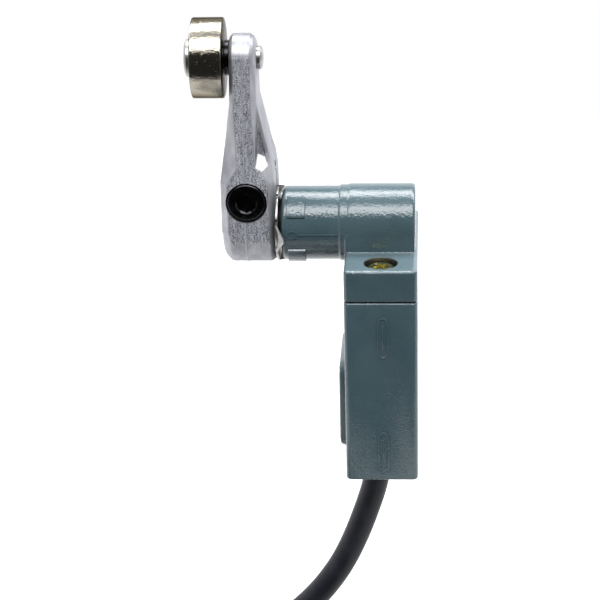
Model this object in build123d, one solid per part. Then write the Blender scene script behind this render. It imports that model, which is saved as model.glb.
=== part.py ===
"""Compact prewired limit switch with a side rotary head and a roller lever.

Millimetres, +Z up. The origin is the middle of the two mounting holes on the back face, and +X points
out of that face, towards the panel that the switch is bolted to.
"""
from build123d import *

import math
import os

os.makedirs("parts", exist_ok=True)

# ---- Driving dimensions -------------------------------------------------------------------------
CASE_FRONT = -16.0
CASE_BACK = 0.0
CASE_HALF_Y = 20.0
CASE_BOTTOM = -33.0
CASE_TOP = 9.6
GASKET = 0.4
FLANGE_TOP = 17.0
CASE_EDGE = 1.2
MID_X = (CASE_FRONT + CASE_BACK) / 2

CAVITY_X = (-14.2, -2.0)
CAVITY_HALF_Y = 8.4
CAVITY_FLOOR = -31.0

MOUNT_RADIUS = 2.6
MOUNT_HALF_SPACING = 12.5

PAD_DEPTH = 1.6
PAD_HALF_Y = 11.0
PAD_Z = (-30.1, -9.0)
MARKS_Z = (-26.0, 1.5)

SHAFT_Z = 21.0
SHAFT_RADIUS = 4.0
BLOCK_RADIUS = 8.75
NOSE_RADIUS = 8.26
NOSE_FRONT = -30.0
BUSH_RADIUS = 5.5
LUG_COUNT = 4
RUNNING = 0.03

CAM_X = (-11.5, -5.5)
CAM_RADIUS = 6.2
CAM_FLAT = 4.6
HEAD_CAVITY_X = (-14.9, -4.8)
HEAD_CAVITY_RADIUS = 7.0

HEAD_SCREW_Y = 14.9
HEAD_SCREW_RADIUS = 2.0
COUNTERBORE_RADIUS = 3.55
COUNTERBORE_FLOOR = 13.2

LEVER_RADIUS = 38.0
ROLLER_Z = SHAFT_Z + LEVER_RADIUS
HUB_X = (-43.6, -31.3)
BOSS_X = (-40.5, -34.5)
HUB_RADIUS = 9.0
BOSS_RADIUS = 5.3
CLAMP_Z = SHAFT_Z + 7.4
CLAMP_X = -37.4
CLAMP_RADIUS = 2.5
CLAMP_HEAD_RADIUS = 4.3
CLAMP_SLOT = 1.2
SLOT_TOP = SHAFT_Z + 13.4
# The arm's cross-sections: height, front and back face, half width, front and back bevel, bevel's drop.
LEVER_STATIONS = [
    (12.0, -43.6, -31.3, 9.04, 1.0, 1.2, 1.0),
    (29.5, -43.6, -31.3, 8.22, 1.2, 1.4, 1.1),
    (33.8, -43.2, -31.6, 7.80, 3.0, 5.0, 2.2),
    (49.4, -40.5, -34.5, 6.27, 0.8, 1.6, 1.2),
    (64.3, -40.5, -34.5, 4.82, 0.7, 1.5, 1.0),
]
POCKET = [(-36.4, 47.0), (-33.4, 37.4), (-36.3, 39.2)]
POCKET_Y = 4.6
ROLLER_X = (-48.7, -41.8)
ROLLER_RADIUS = 8.75
PIN_RADIUS = 2.5

PLUNGER_RADIUS = 2.5
PLUNGER_TOP = SHAFT_Z - CAM_RADIUS - 0.2
PLUNGER_BOTTOM = 5.45
GUIDE_Z = (7.9, 9.5)
SWITCH_X = (-13.6, -2.6)
SWITCH_HALF_Y = 8.2
SWITCH_Z = (-16.0, 3.4)
SWITCH_WALL = 1.2
BUTTON_RADIUS = 1.6
BRIDGE_Z = -5.0
CONTACT_RADIUS = 1.0
CONTACT_Y = 4.6
OPEN_GAP = 1.05
TERMINAL_BOTTOM = -19.0

CABLE_RADIUS = 3.0
CABLE_X = -9.3
GROMMET_END = -38.0
HELD_TOP = -24.6
FLOOR_Z = -90.0

# The free cable from the grommet to the coil, as corners of straight runs that arcs round off.
CABLE_ROUTE = [
    (-9.3, 0.0, -38.0),
    (-9.75, 0.0, -42.6),
    (-11.9, 0.0, -49.8),
    (-14.8, 0.0, -58.0),
    (-18.6, 0.0, -66.2),
    (-24.2, -0.3, -74.0),
    (-31.6, -1.2, -80.7),
    (-39.8, -3.4, -85.2),
    (-47.7, -6.3, -87.0),
]
COIL_CENTRE = (-44.2, -42.0)
COIL_INNER = 29.5
COIL_PITCH = 6.2
COIL_TOP_Z = FLOOR_Z + CABLE_RADIUS + COIL_PITCH + 5.3
COIL_TOP_ARC = (-26.0, 203.0)
# The loose end of the cable beyond the coil: angle about the coil's centre, distance from it, height.
TAIL_ROUTE = [
    (203.0, 32.6, COIL_TOP_Z),
    (215.0, 35.0, COIL_TOP_Z + 0.4),
    (227.0, 39.2, -75.9),
    (239.0, 42.4, -79.0),
    (251.0, 43.9, -82.8),
    (263.0, 44.7, -85.9),
    (275.0, 45.1, -87.0),
]
LEAD_RADIUS = 0.95
LEAD_TIP_RADIUS = 0.5
LEAD_TIP_LENGTH = 6.0
# Each stripped core, from the end face of the jacket to where its insulation stops.
LEAD_ROUTES = {
    "lead_black": [(-40.36, -85.93, -86.0), (-37.2, -85.8, -86.5), (-29.2, -84.4, -89.05),
                   (-21.6, -79.4, -89.05), (-14.2, -73.0, -89.05), (-9.6, -66.0, -89.05)],
    "lead_white": [(-40.18, -87.93, -86.0), (-37.0, -87.7, -86.7), (-29.6, -87.0, -89.05),
                   (-20.8, -85.0, -89.05), (-12.6, -81.0, -89.05), (-5.6, -75.0, -89.05)],
    "lead_red": [(-40.36, -85.93, -88.0), (-37.2, -84.9, -88.6), (-31.0, -81.2, -89.05),
                 (-23.4, -76.4, -89.05), (-15.8, -70.6, -89.05), (-12.6, -66.0, -89.05)],
    "lead_green": [(-40.18, -87.93, -88.0), (-37.0, -88.8, -88.6), (-30.0, -90.4, -89.05),
                   (-21.6, -90.0, -89.05), (-13.4, -88.0, -89.05), (-6.0, -84.0, -89.05)],
}
TIE_THICKNESS = 0.5
TIE_WIDTH = 3.6
TIE_ANGLES = (20.0, 190.0)


# ---- Shape helpers ------------------------------------------------------------------------------
def block(x, y, z):
    """A box between the low and high value given for each axis."""
    size = Box(x[1] - x[0], y[1] - y[0], z[1] - z[0], align=(Align.MIN, Align.MIN, Align.MIN))
    return Pos(x[0], y[0], z[0]) * size


def upright(radius, z, x=MID_X, y=0.0):
    """A cylinder along Z."""
    return Pos(x, y, z[0]) * Cylinder(radius, z[1] - z[0], align=(Align.CENTER, Align.CENTER, Align.MIN))


def along_x(radius, x, y=0.0, z=SHAFT_Z):
    """A cylinder along X."""
    rod = Cylinder(radius, x[1] - x[0], align=(Align.CENTER, Align.CENTER, Align.MIN))
    return Pos(x[0], y, z) * Rot(0, 90, 0) * rod


def along_y(radius, y, x, z):
    """A cylinder along Y."""
    rod = Cylinder(radius, y[1] - y[0], align=(Align.CENTER, Align.CENTER, Align.MIN))
    return Pos(x, y[0], z) * Rot(-90, 0, 0) * rod


def ring_x(outer, inner, x, y=0.0, z=SHAFT_Z):
    """A round collar along X."""
    return along_x(outer, x, y, z) - along_x(inner, (x[0] - 1, x[1] + 1), y, z)


def ring_z(outer, inner, z, x=MID_X, y=0.0):
    """A round collar along Z."""
    return upright(outer, z, x, y) - upright(inner, (z[0] - 1, z[1] + 1), x, y)


def route_radii(points):
    """The arc radius at each corner of a route: 0.45 of the shorter run over the tangent of half the turn."""
    spots = [Vector(*point) for point in points]
    radii = []
    for before, corner, after in zip(spots, spots[1:], spots[2:]):
        half_turn = math.radians((corner - before).get_angle(after - corner)) / 2
        run = min((corner - before).length, (after - corner).length)
        radii.append(0.45 * run / math.tan(half_turn))
    return radii


def tube(name, points, radius):
    """A round cord along a route, with its arc radii and its volume printed."""
    radii = route_radii(points)
    path = FilletPolyline(*points, radius=radii)
    body = sweep(Plane(path @ 0, z_dir=path % 0) * Circle(radius), path=path)
    expected = math.pi * radius ** 2 * path.length
    print(name, "radii", [round(r, 1) for r in radii], "length", round(path.length, 1),
          "volume", round(body.volume), "of", round(expected))
    return body


def coil_spring(radius, wire, turns, z, x=MID_X, y=0.0):
    """An open coil spring standing on z[0] and reaching z[1]."""
    height = z[1] - z[0] - 2 * wire
    path = Helix(pitch=height / turns, height=height, radius=radius)
    body = sweep(Plane(path @ 0, z_dir=path % 0) * Circle(wire), path=path, is_frenet=True)
    return Pos(x, y, z[0] + wire) * body


def both_sides(make):
    """The same piece at each side of the switch, as one group of solids."""
    return Compound(children=[make(side) for side in (-1, 1)])


# ---- Casing -------------------------------------------------------------------------------------
def body_housing():
    """The die-cast lower case, open at the top, with its raised front pad and mounting holes."""
    case = block((CASE_FRONT, CASE_BACK), (-CASE_HALF_Y, CASE_HALF_Y), (CASE_BOTTOM, CASE_TOP))
    case = fillet(case.edges().filter_by(Axis.Z), CASE_EDGE)
    case = fillet(case.edges().group_by(Axis.Z)[0], CASE_EDGE - 0.2)
    pad_height = PAD_Z[1] - PAD_Z[0]
    pad_plane = Plane((CASE_FRONT + 0.4, 0, sum(PAD_Z) / 2), x_dir=(0, 1, 0), z_dir=(-1, 0, 0))
    pad = extrude(pad_plane * RectangleRounded(2 * PAD_HALF_Y, pad_height, 3.0), PAD_DEPTH + 0.4, taper=14)
    case += pad
    for mark_z in MARKS_Z:
        plane = Plane((MID_X + 0.4, -CASE_HALF_Y, mark_z), x_dir=(1, 0, 0), z_dir=(0, -1, 0))
        outline = SlotOverall(9.6, 2.6, rotation=90) - SlotOverall(8.6, 1.6, rotation=90)
        case += extrude(plane * outline, 0.2)
    case -= block(CAVITY_X, (-CAVITY_HALF_Y, CAVITY_HALF_Y), (CAVITY_FLOOR, CASE_TOP + 1))
    case -= upright(4.4, (CASE_BOTTOM - 1, CAVITY_FLOOR + 1), CABLE_X)
    for side in (-1, 1):
        case -= along_x(MOUNT_RADIUS, (CASE_FRONT - 2, CASE_BACK + 1), side * MOUNT_HALF_SPACING, 0)
        case -= upright(HEAD_SCREW_RADIUS + RUNNING, (4.4, CASE_TOP + 1), MID_X, side * HEAD_SCREW_Y)
    return case


def head_casting():
    """The rotary head: flange, round-topped block and cylindrical nose, with its inner bores."""
    base = block((CASE_FRONT, CASE_BACK), (-CASE_HALF_Y, CASE_HALF_Y), (CASE_TOP + GASKET, FLANGE_TOP))
    base = fillet(base.edges().filter_by(Axis.Z), CASE_EDGE)
    base = fillet(base.edges().group_by(Axis.Z)[-1], 0.7)
    head = base + along_x(BLOCK_RADIUS, (-15.5, -0.5))
    head += block((-15.9, -0.3), (-BLOCK_RADIUS, BLOCK_RADIUS), (FLANGE_TOP - 1, SHAFT_Z))
    nose = along_x(NOSE_RADIUS, (NOSE_FRONT, -15.0))
    nose = fillet(nose.edges().sort_by(Axis.X)[0], 0.9)
    head += nose
    head += along_x(NOSE_RADIUS + 0.3, (-17.2, -15.0))
    for index in range(LUG_COUNT):
        turn = Pos(0, 0, SHAFT_Z) * Rot(45 + 360 / LUG_COUNT * index, 0, 0)
        bar = turn * block((-29.2, -25.6), (5.0, 9.5), (-2.7, 2.7))
        head += bar & along_x(BLOCK_RADIUS, (-29.2, -25.6))
    head -= along_x(BUSH_RADIUS + RUNNING, (NOSE_FRONT - 1, -14.0))
    head -= along_x(6.4, (NOSE_FRONT - 1, -27.8))
    head -= along_x(HEAD_CAVITY_RADIUS, HEAD_CAVITY_X)
    head -= block(HEAD_CAVITY_X, (-6.5, 6.5), (CASE_TOP, SHAFT_Z))
    head -= block((HEAD_CAVITY_X[0], -3.6), (-6.5, 6.5), (CASE_TOP, PLUNGER_TOP + 0.4))
    head -= along_x(2.5 + RUNNING, (-5.5, -1.4))
    for side in (-1, 1):
        y = side * HEAD_SCREW_Y
        head -= upright(COUNTERBORE_RADIUS, (COUNTERBORE_FLOOR, FLANGE_TOP + 1), MID_X, y)
        head -= upright(HEAD_SCREW_RADIUS + 0.2, (CASE_TOP, FLANGE_TOP), MID_X, y)
    return head


def head_gasket():
    """The thin sheet gasket between the two castings."""
    sheet = block((CASE_FRONT + 0.4, CASE_BACK - 0.4), (-CASE_HALF_Y + 0.4, CASE_HALF_Y - 0.4),
                  (CASE_TOP, CASE_TOP + GASKET))
    sheet -= block(CAVITY_X, (-CAVITY_HALF_Y, CAVITY_HALF_Y), (CASE_TOP - 1, CASE_TOP + 1))
    for side in (-1, 1):
        sheet -= upright(HEAD_SCREW_RADIUS + 0.2, (CASE_TOP - 1, CASE_TOP + 1), MID_X, side * HEAD_SCREW_Y)
    return sheet


def head_screw(side):
    """A pan-head screw with a cross recess, down through the flange into the case."""
    y = side * HEAD_SCREW_Y
    head = upright(3.1, (14.0, 16.4), MID_X, y)
    head = fillet(head.edges().sort_by(Axis.Z)[-1], 0.9)
    screw = head + upright(HEAD_SCREW_RADIUS, (4.6, 14.0), MID_X, y)
    for across, along in ((0.42, 1.9), (1.9, 0.42)):
        screw -= block((MID_X - across, MID_X + across), (y - along, y + along), (15.2, 17.0))
    return screw


def head_screw_washer(side):
    """The spring washer under a head screw."""
    return ring_z(3.4, HEAD_SCREW_RADIUS + 0.1, (COUNTERBORE_FLOOR, 14.0), MID_X, side * HEAD_SCREW_Y)


def rating_label():
    """The blank foil label on the raised front pad."""
    plane = Plane((CASE_FRONT - PAD_DEPTH, 0, sum(PAD_Z) / 2), x_dir=(0, 1, 0), z_dir=(-1, 0, 0))
    return extrude(plane * RectangleRounded(19.0, 18.0, 1.5), 0.12)


# ---- Rotary head --------------------------------------------------------------------------------
def actuator_shaft():
    """The lever's shaft: journal, cam seat, rear journal, clip groove and cross-pin hole."""
    shaft = along_x(SHAFT_RADIUS, (HUB_X[0] + 0.4, -13.6))
    shaft = chamfer(shaft.edges().sort_by(Axis.X)[0], 0.5)
    shaft += along_x(3.5, (-13.7, -5.2)) + along_x(2.5, (-5.3, -1.6))
    shaft -= ring_x(SHAFT_RADIUS + 1, 3.3, (-14.85, -14.15))
    shaft -= upright(0.77, (SHAFT_Z - 5, SHAFT_Z + 5), -8.5)
    shaft -= block((HUB_X[0], HUB_X[0] + 1.2), (-SHAFT_RADIUS, SHAFT_RADIUS), (SHAFT_Z - 0.5, SHAFT_Z + 0.5))
    return shaft


def cam():
    """The cam on the shaft: round, with the flat that faces the plunger while the lever is upright."""
    body = ring_x(CAM_RADIUS, 3.52, CAM_X)
    body -= block((CAM_X[0] - 1, CAM_X[1] + 1), (-8, 8), (SHAFT_Z - 8, SHAFT_Z - CAM_FLAT))
    return body - upright(0.77, (SHAFT_Z - 8, SHAFT_Z + 8), -8.5)


def cam_pin():
    """The cross pin that locks the cam to the shaft."""
    return upright(0.75, (SHAFT_Z - CAM_FLAT + 0.1, SHAFT_Z + 6.0), -8.5)


def shaft_clip():
    """The retaining ring behind the bush, open at one side."""
    return ring_x(5.2, 3.32, (-14.8, -14.2)) - block((-16, -13), (-1.4, 1.4), (SHAFT_Z, SHAFT_Z + 6))


def nose_bush():
    """The plain bearing of the shaft."""
    return ring_x(BUSH_RADIUS, SHAFT_RADIUS + RUNNING, (-27.7, -15.0))


def shaft_seal():
    """The rubber lip seal at the mouth of the nose, with a shallow groove in its face."""
    seal = ring_x(6.36, SHAFT_RADIUS + RUNNING, (-29.7, -27.8))
    return seal - ring_x(5.6, 4.8, (-30.0, -29.2))


# ---- Lever --------------------------------------------------------------------------------------
def lever_section(z, front, back, half_y, front_bevel, back_bevel, drop):
    """The lever's level cross-section at a height: a rectangle whose long corners are bevelled."""
    corners = [(front, half_y - drop), (front + front_bevel, half_y), (back - back_bevel, half_y),
               (back, half_y - drop)]
    mirrored = [(x, -y) for x, y in reversed(corners)]
    return Plane((0, 0, z)) * Polygon(*corners, *mirrored, align=None)


def lever_arm():
    """The die-cast arm: clamped hub, split above the shaft, tapering to the roller boss."""
    low, high = SHAFT_Z - HUB_RADIUS, ROLLER_Z + BOSS_RADIUS
    arm = loft([lever_section(*station) for station in LEVER_STATIONS], ruled=True)
    under = block((-50, -25), (-12, 12), (low - 2, SHAFT_Z)) - along_x(HUB_RADIUS, (-51, -24))
    above = block((-50, -25), (-12, 12), (ROLLER_Z, high + 2)) - along_x(BOSS_RADIUS, (-51, -24), 0, ROLLER_Z)
    arm = arm - under - above
    side_plane = Plane((0, 0, 0), x_dir=(1, 0, 0), z_dir=(0, -1, 0))
    trims = [
        [(HUB_X[0] - 1, low - 1), (HUB_X[0] + 3.2, low - 1), (HUB_X[0] + 3.2, low), (HUB_X[0] + 0.9, low + 2.2),
         (HUB_X[0], low + 5.5), (HUB_X[0] - 1, low + 5.5)],
        [(HUB_X[1] + 1, low - 1), (HUB_X[1] - 1.4, low - 1), (HUB_X[1] - 1.4, low), (HUB_X[1], low + 1.4),
         (HUB_X[1] + 1, low + 1.4)],
    ]
    for outline in trims:
        arm -= extrude(side_plane * Polygon(*outline, align=None), 15, both=True)
    pocket = extrude(side_plane * Polygon(*POCKET, align=None), 15, both=True)
    for reach in ((-12, -POCKET_Y), (POCKET_Y, 12)):
        arm -= pocket & block((-45, -30), reach, (SHAFT_Z, ROLLER_Z))
    through = (HUB_X[0] - 1, HUB_X[1] + 1)
    arm -= along_x(SHAFT_RADIUS + 0.01, through)
    arm -= block(through, (-CLAMP_SLOT / 2, CLAMP_SLOT / 2), (SHAFT_Z, SLOT_TOP))
    arm -= along_x(1.2, through, 0, SLOT_TOP)
    arm -= along_x(PIN_RADIUS + 0.01, through, 0, ROLLER_Z)
    arm -= along_y(CLAMP_RADIUS + 0.2, (-12, 0), CLAMP_X, CLAMP_Z)
    arm -= along_y(CLAMP_RADIUS + 0.01, (0, 12), CLAMP_X, CLAMP_Z)
    arm -= along_y(CLAMP_HEAD_RADIUS + 0.25, (-12, -3.4), CLAMP_X, CLAMP_Z)
    return arm


def lever_clamp_screw():
    """The socket-head cap screw that closes the hub on the shaft."""
    head = along_y(CLAMP_HEAD_RADIUS, (-8.2, -3.4), CLAMP_X, CLAMP_Z)
    head = chamfer(head.edges().sort_by(Axis.Y)[0], 0.45)
    screw = head + along_y(CLAMP_RADIUS, (-3.4, 7.4), CLAMP_X, CLAMP_Z)
    socket_plane = Plane((CLAMP_X, -8.3, CLAMP_Z), x_dir=(1, 0, 0), z_dir=(0, 1, 0))
    return screw - extrude(socket_plane * RegularPolygon(2.3, 6), 2.7)


def tab_washer():
    """The thin washer between hub and nose: a slotted disc with tabs bent towards the nose."""
    x = HUB_X[1]
    disc = ring_x(8.2, SHAFT_RADIUS + 0.05, (x, x + 0.35))
    for index in range(8):
        turn = Pos(0, 0, SHAFT_Z) * Rot(22.5 + 45 * index, 0, 0)
        disc -= turn * block((x - 1, x + 1), (6.0, 9.5), (-0.35, 0.35))
    for angle in (-78, 12, 102, 192):
        turn = Pos(x + 0.175, 0, SHAFT_Z) * Rot(angle, 0, 0)
        tab = turn * Pos(0, 7.7, 0) * Rot(0, 0, -50) * block((-0.17, 0.17), (0, 2.2), (-2.2, 2.2))
        disc += tab
    return disc


def roller():
    """The sintered roller, with eased rims and a running bore."""
    wheel = along_x(ROLLER_RADIUS, ROLLER_X, 0, ROLLER_Z)
    wheel = fillet(wheel.edges().filter_by(GeomType.CIRCLE), 0.5)
    wheel -= along_x(PIN_RADIUS + RUNNING, (ROLLER_X[0] - 1, ROLLER_X[1] + 1), 0, ROLLER_Z)
    return wheel - along_x(5.0, (ROLLER_X[0] - 1, ROLLER_X[0] + 0.4), 0, ROLLER_Z)


def roller_pin():
    """The roller's pin: a wide head outside and a riveted end behind the lever."""
    head = along_x(4.15, (-50.3, -48.75), 0, ROLLER_Z)
    head = chamfer(head.edges().sort_by(Axis.X)[0], 0.5)
    tail = along_x(2.55, (BOSS_X[1], -32.9), 0, ROLLER_Z)
    tail = chamfer(tail.edges().sort_by(Axis.X)[-1], 0.4)
    return head + along_x(PIN_RADIUS, (-49, BOSS_X[1] + 0.2), 0, ROLLER_Z) + tail


def roller_spacer():
    """The dark collar between the roller and the lever."""
    return ring_x(3.9, PIN_RADIUS + RUNNING, (ROLLER_X[1] + 0.1, BOSS_X[0]), 0, ROLLER_Z)


# ---- Plunger and snap switch --------------------------------------------------------------------
def plunger():
    """The follower under the cam."""
    return upright(3.9, (PLUNGER_TOP - 1.2, PLUNGER_TOP)) + upright(PLUNGER_RADIUS, (PLUNGER_BOTTOM, 14.0))


def guide_plate():
    """The plate that guides the plunger and carries its spring."""
    plate = block((CAVITY_X[0] + 0.1, CAVITY_X[1] - 0.1), (-8.3, 8.3), GUIDE_Z)
    return plate - upright(PLUNGER_RADIUS + RUNNING, (GUIDE_Z[0] - 1, GUIDE_Z[1] + 1))


def switch_case():
    """The snap switch's moulded case, open at the front."""
    inner_y = SWITCH_HALF_Y - SWITCH_WALL
    case = block(SWITCH_X, (-SWITCH_HALF_Y, SWITCH_HALF_Y), SWITCH_Z)
    case -= block((SWITCH_X[0] - 1, SWITCH_X[1] - SWITCH_WALL), (-inner_y, inner_y),
                  (SWITCH_Z[0] + SWITCH_WALL, SWITCH_Z[1] - SWITCH_WALL))
    case -= upright(BUTTON_RADIUS + 0.05, (SWITCH_Z[1] - 2, SWITCH_Z[1] + 1))
    for y in (-6.5, -3.5, 3.5, 6.5):
        case -= block((MID_X - 1.52, MID_X + 1.52), (y - 0.32, y + 0.32), (SWITCH_Z[0] - 1, SWITCH_Z[0] + 2))
    return case


def switch_cover():
    """The plate that closes the snap switch."""
    return block((SWITCH_X[0] - 0.5, SWITCH_X[0]), (-SWITCH_HALF_Y, SWITCH_HALF_Y), SWITCH_Z)


def switch_button():
    """The snap switch's button, with the flange that keeps it in."""
    return upright(BUTTON_RADIUS, (-3.4, 5.4)) + upright(2.4, (1.0, 2.0))


def contact_bridge():
    """The moving bar that joins one pair of fixed contacts or the other."""
    return block((MID_X - 1.6, MID_X + 1.6), (-5.6, 5.6), (BRIDGE_Z - 0.25, BRIDGE_Z + 0.25))


def bridge_contacts(side):
    """The silver rivet at one end of the bridge, proud above and below it."""
    y = side * CONTACT_Y
    faces = upright(CONTACT_RADIUS, (BRIDGE_Z + 0.25, BRIDGE_Z + 0.75), MID_X, y)
    return [faces, upright(CONTACT_RADIUS, (BRIDGE_Z - 0.75, BRIDGE_Z - 0.25), MID_X, y)]


def fixed_contact(side, arm_z, leg_y, rivet_z):
    """A brass terminal: a contact arm inside the case and a leg that comes out below it."""
    low, high = sorted((side * (leg_y - 0.3), side * (leg_y + 0.3)))
    leg = block((MID_X - 1.5, MID_X + 1.5), (low, high), (TERMINAL_BOTTOM, arm_z + 0.5))
    low, high = sorted((side * min(3.6, leg_y), side * (max(leg_y, CONTACT_Y + 1.0))))
    arm = block((MID_X - 1.5, MID_X + 1.5), (low, high), (arm_z, arm_z + 0.5))
    return leg + arm + upright(CONTACT_RADIUS, rivet_z, MID_X, side * CONTACT_Y)


def inner_lead(side, start_y, end_x):
    """One core from a terminal down to the held end of the cable."""
    points = [(MID_X, side * start_y, TERMINAL_BOTTOM), (MID_X, side * start_y, TERMINAL_BOTTOM - 1.5),
              (end_x, side * 1.2, HELD_TOP + 1.3), (end_x, side * 1.2, HELD_TOP)]
    path = FilletPolyline(*points, radius=[0.9, 0.9])
    return sweep(Plane(path @ 0, z_dir=path % 0) * Circle(0.6), path=path)


def potting():
    """The resin that seals the cable's entry."""
    resin = block((CAVITY_X[0] + 0.05, CAVITY_X[1] - 0.05), (-8.35, 8.35), (-29.95, -25.6))
    return resin - upright(CABLE_RADIUS + 0.02, (-32, -24), CABLE_X)


# ---- Cable --------------------------------------------------------------------------------------
def cable_grommet():
    """The rubber bush in the underside: inner flange, neck and a ribbed tapering sleeve."""
    neck = upright(4.35, (CASE_BOTTOM, CAVITY_FLOOR), CABLE_X) + upright(4.8, (CAVITY_FLOOR, -30.0), CABLE_X)
    sleeve = Cone(5.0, 4.0, CASE_BOTTOM - GROMMET_END, align=(Align.CENTER, Align.CENTER, Align.MIN))
    bush = neck + Pos(CABLE_X, 0, CASE_BOTTOM) * Rot(180, 0, 0) * sleeve
    for groove_z in (-35.0, -36.6):
        bush -= ring_z(6.0, 3.9, (groove_z - 0.35, groove_z + 0.35), CABLE_X)
    return bush - upright(CABLE_RADIUS + 0.01, (GROMMET_END - 1, -29), CABLE_X)


def coil_section(angle, radius, z):
    """A point given by its angle and distance from the coil's centre."""
    turn = math.radians(angle)
    return (COIL_CENTRE[0] + radius * math.cos(turn), COIL_CENTRE[1] + radius * math.sin(turn), z)


def cable_coil():
    """The outer shape of the wound cable: a ring two turns wide and high, with half a turn on top."""
    outer = COIL_INNER + COIL_PITCH + CABLE_RADIUS
    top = FLOOR_Z + 2 * CABLE_RADIUS + COIL_PITCH
    ring = ring_z(outer, COIL_INNER - CABLE_RADIUS, (FLOOR_Z, top), *COIL_CENTRE)
    start, end = COIL_TOP_ARC
    arc = CenterArc((*COIL_CENTRE, COIL_TOP_Z), COIL_INNER + COIL_PITCH / 2, start, end - start)
    return ring + sweep(Plane(arc @ 0, z_dir=arc % 0) * Circle(CABLE_RADIUS), path=arc)


def coil_tie(angle, top):
    """A strap round the coil's section, with its small lock on the outside."""
    low, high = COIL_INNER - CABLE_RADIUS - 0.1, COIL_INNER + COIL_PITCH + CABLE_RADIUS
    wall = TIE_THICKNESS
    width = (-TIE_WIDTH / 2, TIE_WIDTH / 2)
    strap = block((low - wall, high + wall), width, (FLOOR_Z - wall, top + wall))
    strap = fillet(strap.edges().filter_by(Axis.Y), 0.4)
    strap += block((high + wall, high + wall + 3.0), (-2.6, 2.6), (top - 5.4, top - 0.6))
    strap -= block((low, high), (-3, 3), (FLOOR_Z, top))
    return Pos(*COIL_CENTRE, 0) * Rot(0, 0, angle) * strap


def lead_tip(points):
    """The bare strands beyond one core's insulation."""
    last, before = Vector(*points[-1]), Vector(*points[-2])
    strands = Cylinder(LEAD_TIP_RADIUS, LEAD_TIP_LENGTH, align=(Align.CENTER, Align.CENTER, Align.MIN))
    return Plane(last, z_dir=last - before) * strands


# ---- All sub-parts ------------------------------------------------------------------------------
tail_points = [coil_section(*spot) for spot in TAIL_ROUTE]
contact_arm_z = BRIDGE_Z + 0.8 + 0.6
open_arm_z = BRIDGE_Z - 0.75 - OPEN_GAP - 1.1

subparts = {
    "body_housing": body_housing(),
    "head_casting": head_casting(),
    "head_gasket": head_gasket(),
    "head_screws": both_sides(head_screw),
    "head_screw_washers": both_sides(head_screw_washer),
    "rating_label": rating_label(),
    "actuator_shaft": actuator_shaft(),
    "cam": cam(),
    "cam_pin": cam_pin(),
    "shaft_clip": shaft_clip(),
    "nose_bush": nose_bush(),
    "shaft_seal": shaft_seal(),
    "lever_arm": lever_arm(),
    "lever_clamp_screw": lever_clamp_screw(),
    "tab_washer": tab_washer(),
    "roller": roller(),
    "roller_pin": roller_pin(),
    "roller_spacer": roller_spacer(),
    "plunger": plunger(),
    "plunger_spring": coil_spring(3.1, 0.25, 3.5, (GUIDE_Z[1], PLUNGER_TOP - 1.2)),
    "guide_plate": guide_plate(),
    "plunger_seal": ring_z(4.0, PLUNGER_RADIUS + RUNNING, (6.9, GUIDE_Z[0])),
    "switch_case": switch_case(),
    "switch_cover": switch_cover(),
    "switch_button": switch_button(),
    "contact_bridge": contact_bridge(),
    "bridge_contacts": Compound(children=bridge_contacts(-1) + bridge_contacts(1)),
    "bridge_spring": coil_spring(1.3, 0.2, 6, (SWITCH_Z[0] + SWITCH_WALL, BRIDGE_Z - 0.25)),
    "closed_contacts": both_sides(
        lambda side: fixed_contact(side, contact_arm_z, 6.5, (BRIDGE_Z + 0.8, contact_arm_z))),
    "open_contacts": both_sides(
        lambda side: fixed_contact(side, open_arm_z, 3.5, (open_arm_z + 0.5, open_arm_z + 1.1))),
    "inner_leads": Compound(children=[
        inner_lead(side, *ends) for side in (-1, 1) for ends in ((6.5, -9.6), (3.5, -8.0))]),
    "potting": potting(),
    "cable_grommet": cable_grommet(),
    "cable_held_end": upright(CABLE_RADIUS, (GROMMET_END, HELD_TOP), CABLE_X),
    "cable": tube("cable", CABLE_ROUTE, CABLE_RADIUS),
    "cable_coil": cable_coil(),
    "cable_tail": tube("cable_tail", tail_points, CABLE_RADIUS),
    "lead_tips": Compound(children=[lead_tip(points) for points in LEAD_ROUTES.values()]),
    "coil_ties": Compound(children=[
        coil_tie(angle, COIL_TOP_Z + CABLE_RADIUS) for angle in TIE_ANGLES]),
}
for lead, points in LEAD_ROUTES.items():
    subparts[lead] = tube(lead, points, LEAD_RADIUS)

for node, shape in subparts.items():
    export_step(shape, f"parts/{node}.step")
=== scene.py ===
"""Looks of a compact prewired limit switch with a roller lever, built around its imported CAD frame.

Shapes are modelled in millimetres in the frame of the CAD part (+Z up, origin between the two mounting
holes, +X towards the panel) and scaled to metres when a piece is finished.
"""

import logging
import math
from collections.abc import Callable, Sequence
from dataclasses import dataclass, field
from enum import Enum
from functools import cache
from typing import Any

import bmesh
import bpy
from bmesh.types import BMEdge, BMesh, BMVert
from bpy.types import Material, Object
from mathutils import Matrix, Vector


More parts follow.
